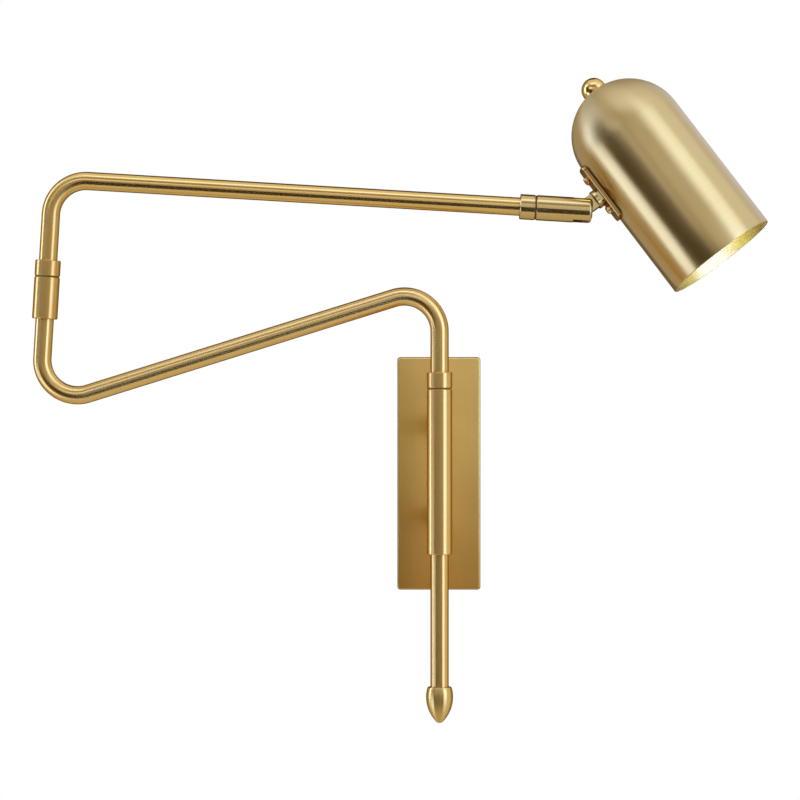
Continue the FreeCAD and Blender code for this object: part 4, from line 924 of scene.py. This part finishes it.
# Reflectors: one dome of soft panels that only shows in reflections

STAGE_CENTRE = Vector((-0.03, -0.06, 0.05))
PANEL_DISTANCE = 1.8
PANEL_STEP, PANELS_FOOT, ZENITH = 2, -42, 90  # degrees
OPEN_LEVEL = 0.95  # the studio's white beside the panels
# Level, colour of the light at that level
TINTS = ((0, (1, 0.62, 0.08)), (0.2, (1, 0.76, 0.38)), (0.4, (1, 0.90, 0.74)), (0.65, (1, 1.03, 1.22)),
         (1, (1, 1.18, 1.68)), (1.8, (0.95, 1.22, 2.2)), (2.0, (0.94, 1.34, 2.9)))

# Name: azimuths, elevations and softness in degrees, level. A later panel covers the earlier ones.
PANELS = {
    "back": ((156, 204), (-44, 70), 8, 0.18),
    "left_back": ((204, 258), (-44, 60), 8, 0.50),
    "right_back": ((110, 156), (-44, 18), 8, 0.46),
    "right_back_high": ((110, 156), (18, 60), 8, 0.8),
    "right": ((60, 110), (-44, 28), 6, 0.76),
    "right_high": ((60, 110), (28, 60), 6, 1.0),
    "front_low": ((-60, 36), (-44, 1), 4, 0.03),
    "front_high": ((-14, 34), (1, 30), 4, 0.76),
    "front_side": ((-50, -14), (15, 33), 4, 1.3),
    "front_side_low": ((-50, -14), (-10, 15), 4, 0.08),
    "front_fade": ((-14, 0), (-2, 24), 8, 0.50),
    "front_top": ((-62, 24), (32, 46), 5, 0.30),
    "front_left": ((-86, -50), (-12, 34), 4, 0.12),
    "left_low": ((-84, -54), (-46, -13), 5, 1.85),
    "left_foot": ((-116, -86), (-46, -14), 5, 0.55),
    "left_strip": ((-104, -86), (-14, 48), 4, 2.4),
    "key_low": ((38, 65), (-14, 26), 8, 2.0),
    "key": ((37, 68), (26, 52), 10, 1.6),
    "top_low": ((-62, 24), (46, 57), 4, 0.50),
    "top_light": ((-50, 50), (56, 73), 6, 1.55),
    "top_high": ((-180, 180), (74, 94), 5, 0.88),
}


def direction_of(azimuth, elevation):
    """Azimuth 0 points to the camera's side, -Y, and grows towards +X. Both in degrees."""
    around, up = math.radians(azimuth), math.radians(elevation)
    return Vector((math.sin(around) * math.cos(up), -math.cos(around) * math.cos(up), math.sin(up)))


def cover(distance, half, softness):
    """How far a panel covers a place at this distance from its middle line: 1 inside, 0 outside."""
    share = min(max((half - distance) / softness + 0.5, 0), 1)
    return share * share * (3 - 2 * share)


def panel_level(azimuth, elevation):
    """Level of the light that comes from a direction."""
    level = OPEN_LEVEL
    for (left, right), (low, high), softness, panel in PANELS.values():
        aside = abs((azimuth - (left + right) / 2 + 180) % 360 - 180)
        above = abs(elevation - (low + high) / 2)
        share = cover(aside, (right - left) / 2, softness) * cover(above, (high - low) / 2, softness)
        level += (panel - level) * share
    return level


def tinted(level):
    """Light of a level: the room's dark parts are warm and its lamps cool."""
    for (low, low_tint), (high, high_tint) in zip(TINTS, TINTS[1:]):
        if level <= high:
            break
    share = min((level - low) / (high - low), 1)
    return [level * (first + (second - first) * share) for first, second in zip(low_tint, high_tint)] + [1]


def make_panels():
    """The dome: a mesh whose points hold the light of their directions."""
    material = bpy.data.materials.new("panels")
    tree = emptied_tree(material)
    painted = tree.nodes.new("ShaderNodeAttribute")
    painted.attribute_name = "light"
    glow = tree.nodes.new("ShaderNodeEmission")
    output = tree.nodes.new("ShaderNodeOutputMaterial")
    tree.links.new(painted.outputs["Color"], glow.inputs["Color"])
    tree.links.new(glow.outputs["Emission"], output.inputs["Surface"])
    material.cycles.emission_sampling = "NONE"
    azimuths, elevations = range(-180, 180, PANEL_STEP), range(PANELS_FOOT, ZENITH, PANEL_STEP)
    directions = [(azimuth, elevation) for elevation in elevations for azimuth in azimuths]
    places = [STAGE_CENTRE + direction_of(*direction) * PANEL_DISTANCE for direction in directions]
    lights = [part for direction in directions for part in tinted(panel_level(*direction))]
    count, top_row = len(azimuths), (len(elevations) - 1) * len(azimuths)
    faces = []
    for row in range(0, top_row, count):
        for side in range(count):
            beside = (side + 1) % count
            faces.append((row + side, row + beside, row + count + beside, row + count + side))
    faces.append(tuple(range(top_row, top_row + count)))
    mesh = bpy.data.meshes.new("panels")
    mesh.from_pydata(places, [], faces)
    mesh.attributes.new("light", "FLOAT_COLOR", "POINT").data.foreach_set("color", lights)
    mesh.materials.append(material)
    dome = new_object("panels", mesh)
    dome.visible_camera = False
    dome.visible_diffuse = False
    dome.visible_shadow = False


# Lights for the diffuse pieces and the floor's shadow

LIGHT_DISTANCE = 2.9
WORLD_GREY = (0.62, 0.62, 0.62, 1)

# Name: azimuth and elevation in degrees, width and height in metres, level
SOFTBOXES = {
    "key": (50, 26, 1.3, 2.0, 1.35),
    "left_strip": (-92, 8, 0.7, 2.2, 1.3),
    "top_strip": (0, 64, 3.0, 0.6, 1.4),
}


def make_softbox(name, azimuth, elevation, width, height, level):
    """An area lamp that faces the stage and doesn't show in reflections."""
    light = bpy.data.lights.new(name, "AREA")
    light.shape = "RECTANGLE"
    light.size, light.size_y = width, height
    light.energy = level * math.pi * width * height
    lamp = new_object(name, light)
    away = direction_of(azimuth, elevation)
    lamp.location = STAGE_CENTRE + away * LIGHT_DISTANCE
    lamp.rotation_mode = "QUATERNION"
    lamp.rotation_quaternion = away.to_track_quat("Z", "Y")
    lamp.visible_camera = False
    lamp.visible_glossy = False


def make_world():
    """Plain grey light all round. Rays from the camera, and those that metal and glass send on, see white."""
    world = bpy.data.worlds.new("studio")
    bpy.context.scene.world = world
    tree = emptied_tree(world)
    rays = tree.nodes.new("ShaderNodeLightPath")
    seen = rays.outputs["Is Camera Ray"]
    for kind in ("Is Glossy Ray", "Is Transmission Ray"):
        either = tree.nodes.new("ShaderNodeMath")
        either.operation = "MAXIMUM"
        tree.links.new(seen, either.inputs[0])
        tree.links.new(rays.outputs[kind], either.inputs[1])
        seen = either.outputs["Value"]
    plain = coloured_node(tree, "ShaderNodeBackground", WORLD_GREY)
    white = coloured_node(tree, "ShaderNodeBackground", WHITE)
    blend = tree.nodes.new("ShaderNodeMixShader")
    output = tree.nodes.new("ShaderNodeOutputWorld")
    tree.links.new(seen, blend.inputs["Fac"])
    tree.links.new(plain.outputs["Background"], blend.inputs[1])
    tree.links.new(white.outputs["Background"], blend.inputs[2])
    tree.links.new(blend.outputs["Shader"], output.inputs["Surface"])


make_floor()
make_panels()
make_world()
for name, settings in SOFTBOXES.items():
    make_softbox(name, *settings)

# Camera at the photograph's viewpoint

CAMERA_PLACE = mm(-28.1, -2059, 53)
PHOTO_SIDE, FOCAL_PIXELS = 800, 2817
SENSOR_WIDTH = 36


def make_camera():
    data = bpy.data.cameras.new("photo_camera")
    data.sensor_width = SENSOR_WIDTH
    data.lens = FOCAL_PIXELS / PHOTO_SIDE * SENSOR_WIDTH
    camera = new_object("photo_camera", data)
    camera.location = CAMERA_PLACE
    camera.rotation_mode = "QUATERNION"
    camera.rotation_quaternion = TO_WALL.to_track_quat("-Z", "Z")
    bpy.context.scene.camera = camera


make_camera()
bpy.context.scene.view_settings.view_transform = "Standard"
